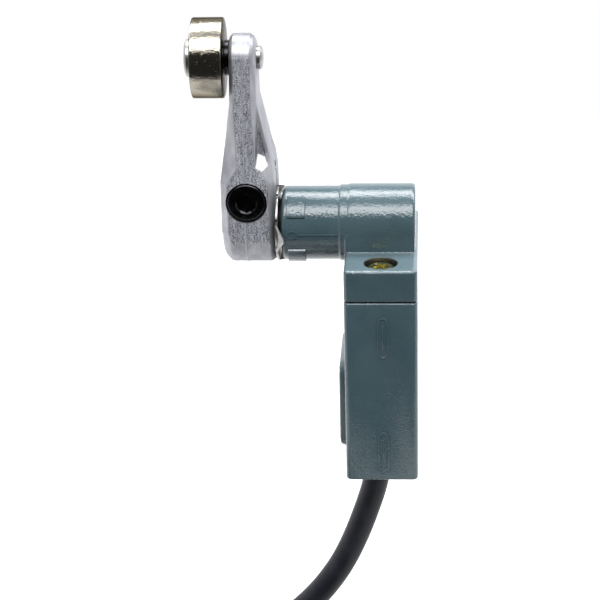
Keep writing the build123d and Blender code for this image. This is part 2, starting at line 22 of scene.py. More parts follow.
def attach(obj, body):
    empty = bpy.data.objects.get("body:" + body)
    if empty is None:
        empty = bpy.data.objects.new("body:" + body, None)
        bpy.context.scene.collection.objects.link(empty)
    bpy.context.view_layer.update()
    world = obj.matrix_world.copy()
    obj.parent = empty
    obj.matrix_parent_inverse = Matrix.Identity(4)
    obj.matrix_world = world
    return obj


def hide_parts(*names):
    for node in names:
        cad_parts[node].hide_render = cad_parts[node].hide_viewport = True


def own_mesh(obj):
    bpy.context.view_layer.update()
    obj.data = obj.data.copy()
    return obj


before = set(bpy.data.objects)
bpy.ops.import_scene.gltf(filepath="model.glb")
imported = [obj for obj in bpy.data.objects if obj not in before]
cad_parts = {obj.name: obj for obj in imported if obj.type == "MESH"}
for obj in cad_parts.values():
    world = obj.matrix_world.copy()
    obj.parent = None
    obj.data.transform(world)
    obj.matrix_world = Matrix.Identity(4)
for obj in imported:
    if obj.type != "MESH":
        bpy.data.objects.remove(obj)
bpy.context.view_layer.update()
LOG = logging.getLogger("limit_switch")

MM = 0.001

Point = tuple[float, float, float]
Pair = tuple[float, float]
Colour = tuple[float, float, float]

# ---- Sizes that several sub-assemblies share, in millimetres --------------------------------------
CASE_X = (-16.0, 0.0)
CASE_HALF_Y = 20.0
CORNER_ROUND = 1.2
MID_X = -8.0
FLANGE_Z = (10.0, 17.0)
SHAFT_Z = 21.0
ROLLER_Z = 59.0
HUB_X = (-43.6, -31.3)
BOSS_X = (-40.5, -34.5)
CLAMP_X = -37.4
CLAMP_Z = 28.4
HEAD_SCREW_Y = 14.9
CABLE_X = -9.3
FLOOR_Z = -90.5


# ---- Mesh tools -----------------------------------------------------------------------------------
class Along(Enum):
    """The axis that a turned or extruded shape runs along."""

    X = "X"
    Y = "Y"
    Z = "Z"

    def turn(self) -> Matrix:
        """The rotation that takes +Z to this axis."""
        angle, axis = {"X": (90, "Y"), "Y": (-90, "X"), "Z": (0, "Z")}[self.value]
        return Matrix.Rotation(math.radians(angle), 4, axis)

    def step(self, length: float) -> Vector:
        """A vector of this length along the axis."""
        return Vector([length * (name == self.value) for name in "XYZ"])


class How(Enum):
    """What a boolean step does with its tool."""

    JOIN = "UNION"
    CUT = "DIFFERENCE"
    KEEP = "INTERSECT"


def arc(centre: Pair, radius: float, start: float, end: float, steps: int = 24) -> list[Pair]:
    """Points along a flat arc.

    Args:
        centre: The arc's centre.
        radius: Its radius.
        start: The first angle, in degrees.
        end: The last angle, in degrees.
        steps: How many straight pieces it has.

    Returns:
        The points, both ends included.
    """
    turns = [math.radians(start + (end - start) * k / steps) for k in range(steps + 1)]
    return [(centre[0] + radius * math.cos(t), centre[1] + radius * math.sin(t)) for t in turns]


def turned(profile: Sequence[Pair], along: Along, centre: Point, steps: int = 96) -> BMesh:
    """Turns a profile about an axis into a closed shell.

    Args:
        profile: Points of (place along the axis, radius). It ends on the axis at both ends, or is a ring's
            section, which is closed here.
        along: The axis.
        centre: A point on the axis; the profile's places are measured from it.
        steps: How many steps the turn has.

    Returns:
        The closed shape.
    """
    shape = bmesh.new()
    verts = [shape.verts.new((radius, 0, place)) for place, radius in profile]
    edges = [shape.edges.new(pair) for pair in zip(verts, verts[1:])]
    if profile[0][1] > 0:
        edges.append(shape.edges.new((verts[-1], verts[0])))
    bmesh.ops.spin(shape, geom=verts + edges, cent=(0, 0, 0), axis=(0, 0, 1), dvec=(0, 0, 0),
                   angle=math.tau, steps=steps, use_merge=True)
    bmesh.ops.remove_doubles(shape, verts=shape.verts, dist=1e-5)
    bmesh.ops.transform(shape, matrix=Matrix.Translation(centre) @ along.turn(), verts=shape.verts)
    bmesh.ops.recalc_face_normals(shape, faces=shape.faces)
    return shape


def rod(radius: float, ends: Pair, along: Along, centre: Point, steps: int = 96) -> BMesh:
    """A plain round bar between two places along an axis."""
    low, high = ends
    return turned([(low, 0), (low, radius), (high, radius), (high, 0)], along, centre, steps)


def slab(x: Pair, y: Pair, z: Pair) -> BMesh:
    """A box between a low and a high value on each axis.

    Args:
        x: The low and high X.
        y: The low and high Y.
        z: The low and high Z.

    Returns:
        The closed shape.
    """
    shape = bmesh.new()
    bmesh.ops.create_cube(shape, size=1)
    size = [high - low for low, high in (x, y, z)]
    middle = [(low + high) / 2 for low, high in (x, y, z)]
    bmesh.ops.scale(shape, vec=size, verts=shape.verts)
    bmesh.ops.translate(shape, vec=middle, verts=shape.verts)
    return shape


def prism(outline: Sequence[Pair], along: Along, low: float, high: float) -> BMesh:
    """Extrudes a flat outline along an axis.

    Args:
        outline: Corners as (Y, Z) along X, (X, Z) along Y or (X, Y) along Z.
        along: The axis.
        low: Where the extrusion starts.
        high: Where it ends.

    Returns:
        The closed shape.
    """
    place: dict[Along, Callable[[float, float], Point]] = {
        Along.X: lambda a, b: (low, a, b),
        Along.Y: lambda a, b: (a, low, b),
        Along.Z: lambda a, b: (a, b, low),
    }
    shape = bmesh.new()
    face = shape.faces.new([shape.verts.new(place[along](a, b)) for a, b in outline])
    grown = bmesh.ops.extrude_face_region(shape, geom=[face])["geom"]
    moved = [item for item in grown if isinstance(item, BMVert)]
    bmesh.ops.translate(shape, vec=along.step(high - low), verts=moved)
    bmesh.ops.recalc_face_normals(shape, faces=shape.faces)
    return shape


def loft(sections: Sequence[Sequence[Point]]) -> BMesh:
    """Joins closed sections of equal point count by ruled faces and closes both ends.

    Args:
        sections: The sections in order, each a closed ring of points.

    Returns:
        The closed shape.
    """
    shape = bmesh.new()
    rings = []
    for section in sections:
        verts = [shape.verts.new(point) for point in section]
        rings.append([shape.edges.new(pair) for pair in zip(verts, verts[1:] + verts[:1])])
    for below, above in zip(rings, rings[1:]):
        bmesh.ops.bridge_loops(shape, edges=below + above)
    for ring in (rings[0], rings[-1]):
        bmesh.ops.edgeloop_fill(shape, edges=ring)
    bmesh.ops.recalc_face_normals(shape, faces=shape.faces)
    return shape


def is_upright(edge: BMEdge) -> bool:
    """Whether an edge climbs by more than a millimetre."""
    return abs(edge.verts[0].co.z - edge.verts[1].co.z) > 1


def at_level(z: float) -> Callable[[BMEdge], bool]:
    """A test that picks the edges lying at a height."""
    return lambda edge: all(abs(vert.co.z - z) < 0.01 for vert in edge.verts)


def rounded(shape: BMesh, width: float, segments: int = 3, angle: float = 30.0,
            pick: Callable[[BMEdge], bool] | None = None) -> BMesh:
    """Rounds a shape's sharp edges in place.

    Args:
        shape: The shape.
        width: How far the rounding reaches from an edge.
        segments: How many faces it has across.
        angle: Edges that turn by less than this many degrees stay.
        pick: A test that an edge passes to be rounded.

    Returns:
        The same shape.
    """
    edges = [edge for edge in shape.edges
             if len(edge.link_faces) == 2 and edge.calc_face_angle() > math.radians(angle)
             and (pick is None or pick(edge))]
    bmesh.ops.bevel(shape, geom=edges, offset=width, offset_type="OFFSET", segments=segments, profile=0.5,
                    affect="EDGES", material=-1, clamp_overlap=True)
    return shape


def moved(shape: BMesh, matrix: Matrix) -> BMesh:
    """Moves a shape in place by a matrix and returns it."""
    bmesh.ops.transform(shape, matrix=matrix, verts=shape.verts)
    return shape


def scratch(shape: BMesh) -> Object:
    """A temporary object that holds a shape, which is used up.

    Args:
        shape: The shape.

    Returns:
        The temporary object.
    """
    mesh = bpy.data.meshes.new("scratch")
    shape.to_mesh(mesh)
    shape.free()
    holder = bpy.data.objects.new("scratch", mesh)
    bpy.context.scene.collection.objects.link(holder)
    return holder


def taken(holder: Object, *others: Object) -> BMesh:
    """The shape of a temporary object with its modifiers applied; the objects are removed.

    Args:
        holder: The object that has the shape.
        others: Tools that are removed with it.

    Returns:
        The shape.
    """
    graph = bpy.context.evaluated_depsgraph_get()
    shape = bmesh.new()
    shape.from_object(holder, graph)
    for item in (holder, *others):
        mesh = item.data
        bpy.data.objects.remove(item)
        bpy.data.meshes.remove(mesh)
    return shape


def combined(base: BMesh, *steps: tuple[How, BMesh]) -> BMesh:
    """Runs boolean steps on a shape.

    Args:
        base: The shape to start from, which is used up.
        steps: What each step does, and its tool, which is used up.

    Returns:
        The resulting shape.
    """
    holder = scratch(base)
    tools = []
    for how, tool in steps:
        tools.append(scratch(tool))
        step = holder.modifiers.new(how.value, "BOOLEAN")
        step.operation, step.solver, step.object = how.value, "MANIFOLD", tools[-1]
    return taken(holder, *tools)


def joined(*shapes: BMesh) -> BMesh:
    """Several closed shells as one shape, without merging them.

    Args:
        shapes: The shells, which are used up.

    Returns:
        The one shape.
    """
    whole = bmesh.new()
    for shape in shapes:
        mesh = bpy.data.meshes.new("part")
        shape.to_mesh(mesh)
        shape.free()
        whole.from_mesh(mesh)
        bpy.data.meshes.remove(mesh)
    return whole


def cast_soft(shape: BMesh, voxel: float, rounds: int) -> BMesh:
    """Gives a sharp shape the even, softened edges and fillets of a casting.

    Args:
        shape: The sharp shape, which is used up.
        voxel: The size of the new faces.
        rounds: How many times the points are evened out.

    Returns:
        The soft shape.
    """
    fine = shape.copy()
    sharp, soft = scratch(shape), scratch(fine)
    remesh = soft.modifiers.new("even_faces", "REMESH")
    remesh.mode, remesh.voxel_size = "VOXEL", voxel
    wrap = soft.modifiers.new("back_on_shape", "SHRINKWRAP")
    wrap.target, wrap.wrap_method = sharp, "NEAREST_SURFACEPOINT"
    result = taken(soft, sharp)
    for _ in range(rounds):
        bmesh.ops.smooth_vert(result, verts=result.verts, factor=0.5, use_axis_x=True, use_axis_y=True,
                              use_axis_z=True)
    return result


def piece(name: str, shape: BMesh, finish: "Finish", body: str, *nodes: str,
          crease: float = 35.0) -> Object:
    """Finishes a shape as a piece of the object.

    Args:
        name: The piece's name.
        shape: Its shape in millimetres, which is used up.
        finish: Its finish.
        body: The CAD body that it rides on.
        nodes: The CAD nodes that it stands for.
        crease: Edges that turn by more than this many degrees are shaded sharp.

    Returns:
        The finished object.
    """
    bmesh.ops.scale(shape, vec=(MM, MM, MM), verts=shape.verts)
    mesh = bpy.data.meshes.new(name)
    shape.to_mesh(mesh)
    shape.free()
    mesh.shade_smooth()
    mesh.set_sharp_from_angle(angle=math.radians(crease))
    mesh.materials.append(finish.material())
    made = bpy.data.objects.new(name, mesh)
    bpy.context.scene.collection.objects.link(made)
    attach(made, body)
    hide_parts(*nodes)
    LOG.info("%s: %d faces on %s", name, len(mesh.polygons), body)
    return made


# ---- Shader tools ---------------------------------------------------------------------------------
class Wire:
    """A node's output, on which Python's operators add Math nodes."""

    def __init__(self, sheet: "Sheet", socket: bpy.types.NodeSocket) -> None:
        """Keeps the socket and the sheet that it is on."""
        self.sheet, self.socket = sheet, socket

    def maths(self, operation: str, *values: "Wire | float") -> "Wire":
        """Adds a Math node of that operation on these values."""
        return self.sheet.node("ShaderNodeMath", {"operation": operation}, dict(enumerate(values)))

    def __add__(self, other: "Wire | float") -> "Wire":
        """This plus other."""
        return self.maths("ADD", self, other)

    def __radd__(self, other: float) -> "Wire":
        """Other plus this."""
        return self.maths("ADD", other, self)

    def __sub__(self, other: "Wire | float") -> "Wire":
        """This minus other."""
        return self.maths("SUBTRACT", self, other)

    def __rsub__(self, other: float) -> "Wire":
        """Other minus this."""
        return self.maths("SUBTRACT", other, self)

    def __mul__(self, other: "Wire | float") -> "Wire":
        """This times other."""
        return self.maths("MULTIPLY", self, other)

    def __rmul__(self, other: float) -> "Wire":
        """Other times this."""
        return self.maths("MULTIPLY", other, self)

    def size(self) -> "Wire":
        """This without its sign."""
        return self.maths("ABSOLUTE", self)

    def eased(self, low: float, high: float) -> "Wire":
        """Rises smoothly from 0 at low to 1 at high."""
        return self.sheet.node("ShaderNodeMapRange", {"interpolation_type": "SMOOTHSTEP"},
                               {"Value": self, "From Min": low, "From Max": high}, "Result")


class Sheet:
    """A node tree that is written in code."""

    def __init__(self, tree: bpy.types.NodeTree) -> None:
        """Starts on a node tree."""
        self.tree = tree

    def node(self, kind: str, settings: dict[str, Any] | None = None,
             inputs: dict[str | int, Any] | None = None, output: str | int = 0) -> Wire:
        """Adds a node.

        Args:
            kind: The node's type.
            settings: Its own settings, which are set first.
            inputs: A value or a Wire for each socket, by name or number.
            output: The output that is wanted, by name or number.

        Returns:
            That output.
        """
        made = self.tree.nodes.new(kind)
        for name, value in (settings or {}).items():
            setattr(made, name, value)
        for name, value in (inputs or {}).items():
            if isinstance(value, Wire):
                self.tree.links.new(value.socket, made.inputs[name])
            else:
                made.inputs[name].default_value = value
        return Wire(self, made.outputs[output])

    def place(self, scale: Point = (1.0, 1.0, 1.0)) -> Wire:
        """The point on the piece in millimetres, stretched by a different amount on each axis.

        Args:
            scale: The stretch on each axis.

        Returns:
            The stretched place.
        """
        metres = self.node("ShaderNodeTexCoord", output="Object")
        factors = [value / MM for value in scale]
        return self.node("ShaderNodeVectorMath", {"operation": "MULTIPLY"}, {0: metres, 1: factors})

    def part_of(self, vector: Wire, axis: str) -> Wire:
        """One component of a vector: X, Y or Z."""
        return self.node("ShaderNodeSeparateXYZ", inputs={0: vector}, output=axis)

    def noise(self, per_mm: float, detail: float = 2.0, roughness: float = 0.5,
              vector: Wire | None = None) -> Wire:
        """A noise of that many features per millimetre, from 0 to 1."""
        inputs = {"Vector": vector or self.place(), "Scale": per_mm, "Detail": detail,
                  "Roughness": roughness}
        return self.node("ShaderNodeTexNoise", inputs=inputs)

    def cells(self, per_mm: float, vector: Wire | None = None) -> Wire:
        """The distance to the nearest of scattered points, so many per millimetre."""
        inputs = {"Vector": vector or self.place(), "Scale": per_mm}
        return self.node("ShaderNodeTexVoronoi", inputs=inputs, output="Distance")

    def mixed(self, share: "Wire | float", first: "Wire | Colour", second: "Wire | Colour") -> Wire:
        """A colour between two, second where share is 1."""
        full = [value if isinstance(value, Wire) else (*value, 1.0) for value in (first, second)]
        return self.node("ShaderNodeMix", {"data_type": "RGBA"}, {0: share, 6: full[0], 7: full[1]}, 2)

    def bump(self, height: Wire, depth_mm: float, under: Wire | None = None) -> Wire:
        """A normal raised by height times a depth, over another bump if one is given.

        Args:
            height: The height, from 0 to 1.
            depth_mm: What a height of 1 is, in millimetres.
            under: The bump that this one lies on.

        Returns:
            The normal.
        """
        inputs: dict[str | int, Any] = {"Strength": 1.0, "Distance": depth_mm * MM, "Height": height}
        if under is not None:
            inputs["Normal"] = under
        return self.node("ShaderNodeBump", inputs=inputs)


@dataclass(frozen=True)
class Finish:
    """A surface finish: its record slot and how its material is made."""

    slot: str

    @cache
    def material(self) -> Material:
        """The finish's material, made the first time it is asked for.

        Returns:
            The material.
        """
        made = bpy.data.materials.new(f"{self.slot}_finish")
        made.use_nodes = True
        shader = made.node_tree.nodes["Principled BSDF"]
        fixed, varying = self.surface(Sheet(made.node_tree))
        for name, value in fixed.items():
            shader.inputs[name].default_value = value
        for name, wire in varying.items():
            made.node_tree.links.new(wire.socket, shader.inputs[name])
        return made

    def surface(self, sheet: Sheet) -> tuple[dict[str, Any], dict[str, Wire]]:
        """The shader's fixed values and its wired ones.

        Args:
            sheet: The node tree to write in.

        Returns:
            The fixed values and the wired ones, by socket.
        """
        raise NotImplementedError


@dataclass(frozen=True)
class Enamel(Finish):
    """Glossy baked enamel over a casting, with orange peel, fine dusty specks, painted top light on its
    ledges and painted shade in the screw counterbores.
    """

    slot: str = "teal_paint"
    colour: Colour = (0.039, 0.067, 0.079)
    light: Colour = (0.047, 0.077, 0.089)
    # The pale, dusty colour below serves both the dusty specks and the painted top light on upward ledges.
    dust_and_top_light: Colour = (0.12, 0.16, 0.18)
    # The near-black shade colour is painted shade in the screw counterbores.
    shade: Colour = (0.006, 0.007, 0.009)
    peel: tuple[Pair, ...] = ((0.4, 0.03), (1.6, 0.038), (2.9, 0.056))
    # How far upward ledges are lightened: painted top light.
    ledge_top_light: float = 0.38
    # Squared distances from a head screw's axis over which the painted counterbore shade fades out.
    counterbore_shade_square: Pair = (13.4, 14.4)

    def surface(self, sheet: Sheet) -> tuple[dict[str, Any], dict[str, Wire]]:
        """Orange peel in the normal; clouding, dusty specks, painted top light on upward ledges and painted
        shade in the screw counterbores in the colour.

        Args:
            sheet: The node tree to write in.

        Returns:
            The fixed values and the wired ones, by socket.
        """
        clouds = sheet.noise(0.12, 3.0)
        fleck = sheet.noise(3.0, 2.0).eased(0.66, 0.78)
        colour = sheet.mixed(clouds.eased(0.3, 0.7), self.colour, self.light)
        colour = sheet.mixed(fleck * 0.35, colour, self.dust_and_top_light)
        # Painted light: faces turned up, below the flange top, are lightened towards the pale dusty colour,
        # standing in for light from above.
        upward = sheet.part_of(sheet.node("ShaderNodeTexCoord", output="Normal"), "Z").eased(0.35, 0.9)
        place = sheet.place()
        lit_ledge = upward * (1 - sheet.part_of(place, "Z").eased(FLANGE_Z[1] + 0.1, FLANGE_Z[1] + 0.6))
        colour = sheet.mixed(lit_ledge * self.ledge_top_light, colour, self.dust_and_top_light)
        # Painted shade: in and round each head screw's counterbore the enamel is darkened nearly to black
        # and made rougher, standing in for the shade in the recess.
        along = sheet.part_of(place, "X") - MID_X
        across = sheet.part_of(place, "Y").size() - HEAD_SCREW_Y
        recess = 1 - (along * along + across * across).eased(*self.counterbore_shade_square)
        colour = sheet.mixed(recess, colour, self.shade)
        peel: Wire | None = None
        for per_mm, depth in self.peel:
            peel = sheet.bump(sheet.noise(per_mm, 1.0), depth, peel)
        rough = sheet.noise(2.2, 3.0) * 0.04 + 0.05 + fleck * 0.2 + recess * 0.3
        return {"IOR": 1.52}, {"Base Color": colour, "Roughness": rough, "Normal": peel}


@dataclass(frozen=True)
class RawCasting(Finish):
    """Bare die-cast alloy: grainy on the broad sides, smooth on the facets, with painted shade on its upward
    faces and round the back of the hub.
    """

    slot: str = "raw_casting"
    dark: Colour = (0.105, 0.112, 0.130)
    bright: Colour = (0.72, 0.735, 0.80)
    facet: Colour = (0.30, 0.307, 0.33)
    shine: Colour = (0.51, 0.515, 0.54)
    # Near-black colour of the painted shade at the hub's back rim.
    hub_shade: Colour = (0.05, 0.05, 0.055)
    edge: tuple[float, ...] = (0.7, 0.7, 0.72, 1.0)
    seam_x: float = -37.7
    # Where along X the painted shade at the hub's back rim sets in, and the heights over which it fades out.
    hub_shade_x: Pair = (-32.7, -31.4)
    hub_shade_fades_z: Pair = (27.0, 33.0)

    def surface(self, sheet: Sheet) -> tuple[dict[str, Any], dict[str, Wire]]:
        """Grain where the surface faces sideways along Y, and flow marks elsewhere; painted shade on upward
        faces and at the hub's back rim.

        Args:
            sheet: The node tree to write in.

        Returns:
            The fixed values and the wired ones, by socket.
        """
        normal = sheet.node("ShaderNodeTexCoord", output="Normal")
        broad = sheet.part_of(normal, "Y").size().eased(0.955, 0.985)
        upward = sheet.part_of(normal, "Z").eased(0.35, 0.85)
        streak = sheet.noise(2.6, 2.0, 0.6, sheet.place((1.0, 1.0, 0.14)))
        grain = sheet.noise(4.6, 2.0, 0.6) * 0.72 + streak * 0.28
        seam = 1 - (sheet.part_of(sheet.place(), "X") - self.seam_x).size().eased(0.08, 0.22)
        flow = sheet.noise(0.35, 4.0, 0.65, sheet.place((1.0, 1.0, 0.3)))
        cloud = sheet.noise(0.16, 2.0).eased(0.3, 0.7)
        grainy = sheet.mixed(grain.eased(0.36, 0.62), self.dark, self.bright)
        smooth = sheet.mixed((flow + grain * 0.5).eased(0.45, 1.05), self.facet, self.shine)
        colour = sheet.mixed(cloud * 0.22, sheet.mixed(broad, smooth, grainy), self.dark)
        colour = sheet.mixed(seam * 0.7, colour, self.shine)
        # Painted shade: faces turned up are darkened, broken up by the streaks, to hold back the light from
        # above.
        colour = sheet.mixed(upward * (0.25 + streak * 0.55), colour, self.dark)
        # Painted shade: the hub's back rim, beside the washer and the nose, is darkened below the clamp,
        # standing in for shade and the nose's dark reflection.
        rim = sheet.part_of(sheet.place(), "X").eased(*self.hub_shade_x)
        rim = rim * (1 - sheet.part_of(sheet.place(), "Z").eased(*self.hub_shade_fades_z))
        colour = sheet.mixed(rim * 0.85, colour, self.hub_shade)
        rough = broad * 0.10 + 0.40 + flow * 0.10
        height = grain * (broad * 0.7 + 0.3)
        raised = sheet.bump(flow, 0.05, sheet.bump(height, 0.07))
        return {"Metallic": 0.85, "Specular Tint": self.edge}, {"Base Color": colour, "Roughness": rough,
                                                                "Normal": raised}


@dataclass(frozen=True)
class SinteredSteel(Finish):
    """Sintered steel with a faint olive cast and open pores."""

    slot: str = "sintered_steel"
    colour: Colour = (0.34, 0.318, 0.265)
    pore: Colour = (0.10, 0.09, 0.07)
    edge: tuple[float, ...] = (0.14, 0.13, 0.12, 1.0)

    def surface(self, sheet: Sheet) -> tuple[dict[str, Any], dict[str, Wire]]:
        """Pores as dark pits, and a slightly uneven polish.

        Args:
            sheet: The node tree to write in.

        Returns:
            The fixed values and the wired ones, by socket.
        """
        pores = 1 - sheet.cells(3.2).eased(0.12, 0.30)
        pits = pores * sheet.noise(0.9, 2.0).eased(0.50, 0.60)
        colour = sheet.mixed(pits * 0.8, self.colour, self.pore)
        rough = sheet.noise(3.0, 3.0) * 0.10 + 0.07 + pits * 0.25
        normal = sheet.bump(sheet.noise(1.6, 2.0), 0.035, sheet.bump(sheet.noise(4.2, 1.0), 0.045))
        normal = sheet.bump(1 - pits, 0.015, normal)
        return {"Metallic": 1.0, "Specular Tint": self.edge}, {"Base Color": colour, "Roughness": rough,
                                                               "Normal": normal}


@dataclass(frozen=True)
class Metal(Finish):
    """Plain machined, stamped or plated metal with fine scuffs."""

    slot: str = "bright_steel"
    colour: Colour = (0.62, 0.61, 0.59)
    stain: Colour = (0.45, 0.44, 0.42)
    roughness: float = 0.22
    scuff_mm: float = 0.008

    def surface(self, sheet: Sheet) -> tuple[dict[str, Any], dict[str, Wire]]:
        """Staining in the colour, scuffs in roughness and normal.

        Args:
            sheet: The node tree to write in.

        Returns:
            The fixed values and the wired ones, by socket.
        """
        stain = sheet.noise(0.6, 4.0, 0.6).eased(0.42, 0.72)
        scuff = sheet.noise(3.5, 3.0, 0.6)
        rough = scuff * 0.14 + (self.roughness - 0.05) + stain * 0.06
        return {"Metallic": 1.0}, {"Base Color": sheet.mixed(stain, self.colour, self.stain),
                                   "Roughness": rough, "Normal": sheet.bump(scuff, self.scuff_mm)}


@dataclass(frozen=True)
class Plastic(Finish):
    """A moulded or extruded plastic, rubber or resin with a fine grain."""

    colour: Colour = (0.02, 0.02, 0.02)
    worn: Colour = (0.03, 0.03, 0.03)
    roughness: float = 0.45
    grain_per_mm: float = 2.5
    grain_mm: float = 0.015
    gloss: float = 0.5

    def surface(self, sheet: Sheet) -> tuple[dict[str, Any], dict[str, Wire]]:
        """Grain in the normal, handling marks in colour and roughness.

        Args:
            sheet: The node tree to write in.

        Returns:
            The fixed values and the wired ones, by socket.
        """
        marks = sheet.noise(0.25, 4.0, 0.6).eased(0.35, 0.7)
        grain = sheet.noise(self.grain_per_mm, 3.0, 0.6)
        rough = marks * 0.12 + (self.roughness - 0.08) + grain * 0.08
        return {"Specular IOR Level": self.gloss}, {
            "Base Color": sheet.mixed(marks, self.colour, self.worn), "Roughness": rough,
            "Normal": sheet.bump(grain, self.grain_mm)}


@dataclass(frozen=True)
class LabelFoil(Finish):
    """A brushed foil label with a printed border and blank ruled panels."""

    slot: str = "label_foil"
    foil: Colour = (0.60, 0.61, 0.62)
    ink: Colour = (0.05, 0.06, 0.07)
    half_size: Pair = (8.7, 8.2)
    middle_z: float = -19.55
    line: float = 0.35
    panel: float = 4.1

    def surface(self, sheet: Sheet) -> tuple[dict[str, Any], dict[str, Wire]]:
        """Ink on the border and two rules; brushing in roughness and normal.

        Args:
            sheet: The node tree to write in.

        Returns:
            The fixed values and the wired ones, by socket.
        """
        place = sheet.place()
        across = sheet.part_of(place, "Y").size()
        up = (sheet.part_of(place, "Z") - self.middle_z).size()
        edges = [(across - self.half_size[0]).size(), (up - self.half_size[1]).size()]
        rule = (up - self.panel).size()
        soft = self.line * 0.15
        ink = 1 - edges[0].maths("MINIMUM", edges[0], edges[1].maths("MINIMUM", edges[1], rule)).eased(
            self.line / 2 - soft, self.line / 2 + soft)
        inside = (1 - across.eased(self.half_size[0] + self.line / 2, self.half_size[0] + self.line)) * (
            1 - up.eased(self.half_size[1] + self.line / 2, self.half_size[1] + self.line))
        brushed = sheet.noise(1.2, 3.0, 0.6, sheet.place((1.0, 0.08, 1.0)))
        ink = ink * inside
        colour = sheet.mixed(ink, sheet.mixed(brushed, self.foil, (0.5, 0.5, 0.5)), self.ink)
        return {}, {"Base Color": colour, "Metallic": 1 - ink, "Roughness": brushed * 0.2 + 0.25,
                    "Normal": sheet.bump(brushed, 0.006)}


BRIGHT = Metal("bright_steel", (0.50, 0.49, 0.47), (0.34, 0.33, 0.31), 0.24)
DULL_PLATE = Metal("bright_steel", (0.36, 0.36, 0.355), (0.24, 0.24, 0.235), 0.30)
BLACKENED = Metal("black_steel", (0.022, 0.022, 0.024), (0.035, 0.035, 0.04), 0.20, 0.008)
YELLOW_ZINC = Metal("yellow_zinc", (0.78, 0.72, 0.34), (0.26, 0.24, 0.11), 0.14, 0.03)
BRONZE = Metal("bronze", (0.48, 0.30, 0.14), (0.32, 0.22, 0.12), 0.38)
SILVER = Metal("silver", (0.80, 0.79, 0.76), (0.55, 0.53, 0.50), 0.24)
COPPER = Metal("bare_copper", (0.83, 0.44, 0.26), (0.60, 0.32, 0.20), 0.25)
RUBBER = Plastic("black_rubber", (0.010, 0.010, 0.011), (0.018, 0.018, 0.019), 0.62, 1.8, 0.02, 0.3)
JACKET = Plastic("cable_jacket", (0.008, 0.009, 0.013), (0.013, 0.015, 0.020), 0.46, 1.6, 0.02, 0.22)
WHITE_PLASTIC = Plastic("white_plastic", (0.70, 0.68, 0.62), (0.60, 0.58, 0.52), 0.40)
BROWN_PLASTIC = Plastic("brown_plastic", (0.09, 0.045, 0.022), (0.12, 0.06, 0.03), 0.38)
RESIN = Plastic("resin", (0.05, 0.045, 0.04), (0.07, 0.06, 0.05), 0.18, 0.4, 0.03)
NYLON = Plastic("tie_nylon", (0.62, 0.61, 0.56), (0.70, 0.69, 0.64), 0.36, 1.2, 0.01)
LEAD_FINISHES = {
    "lead_black": Plastic("lead_black", (0.012, 0.012, 0.013), (0.02, 0.02, 0.02), 0.35),
    "lead_white": Plastic("lead_white", (0.72, 0.71, 0.68), (0.62, 0.61, 0.58), 0.38),
    "lead_red": Plastic("lead_red", (0.46, 0.022, 0.016), (0.36, 0.02, 0.015), 0.36),
    "lead_green": Plastic("lead_green", (0.02, 0.20, 0.06), (0.02, 0.15, 0.05), 0.36),
}


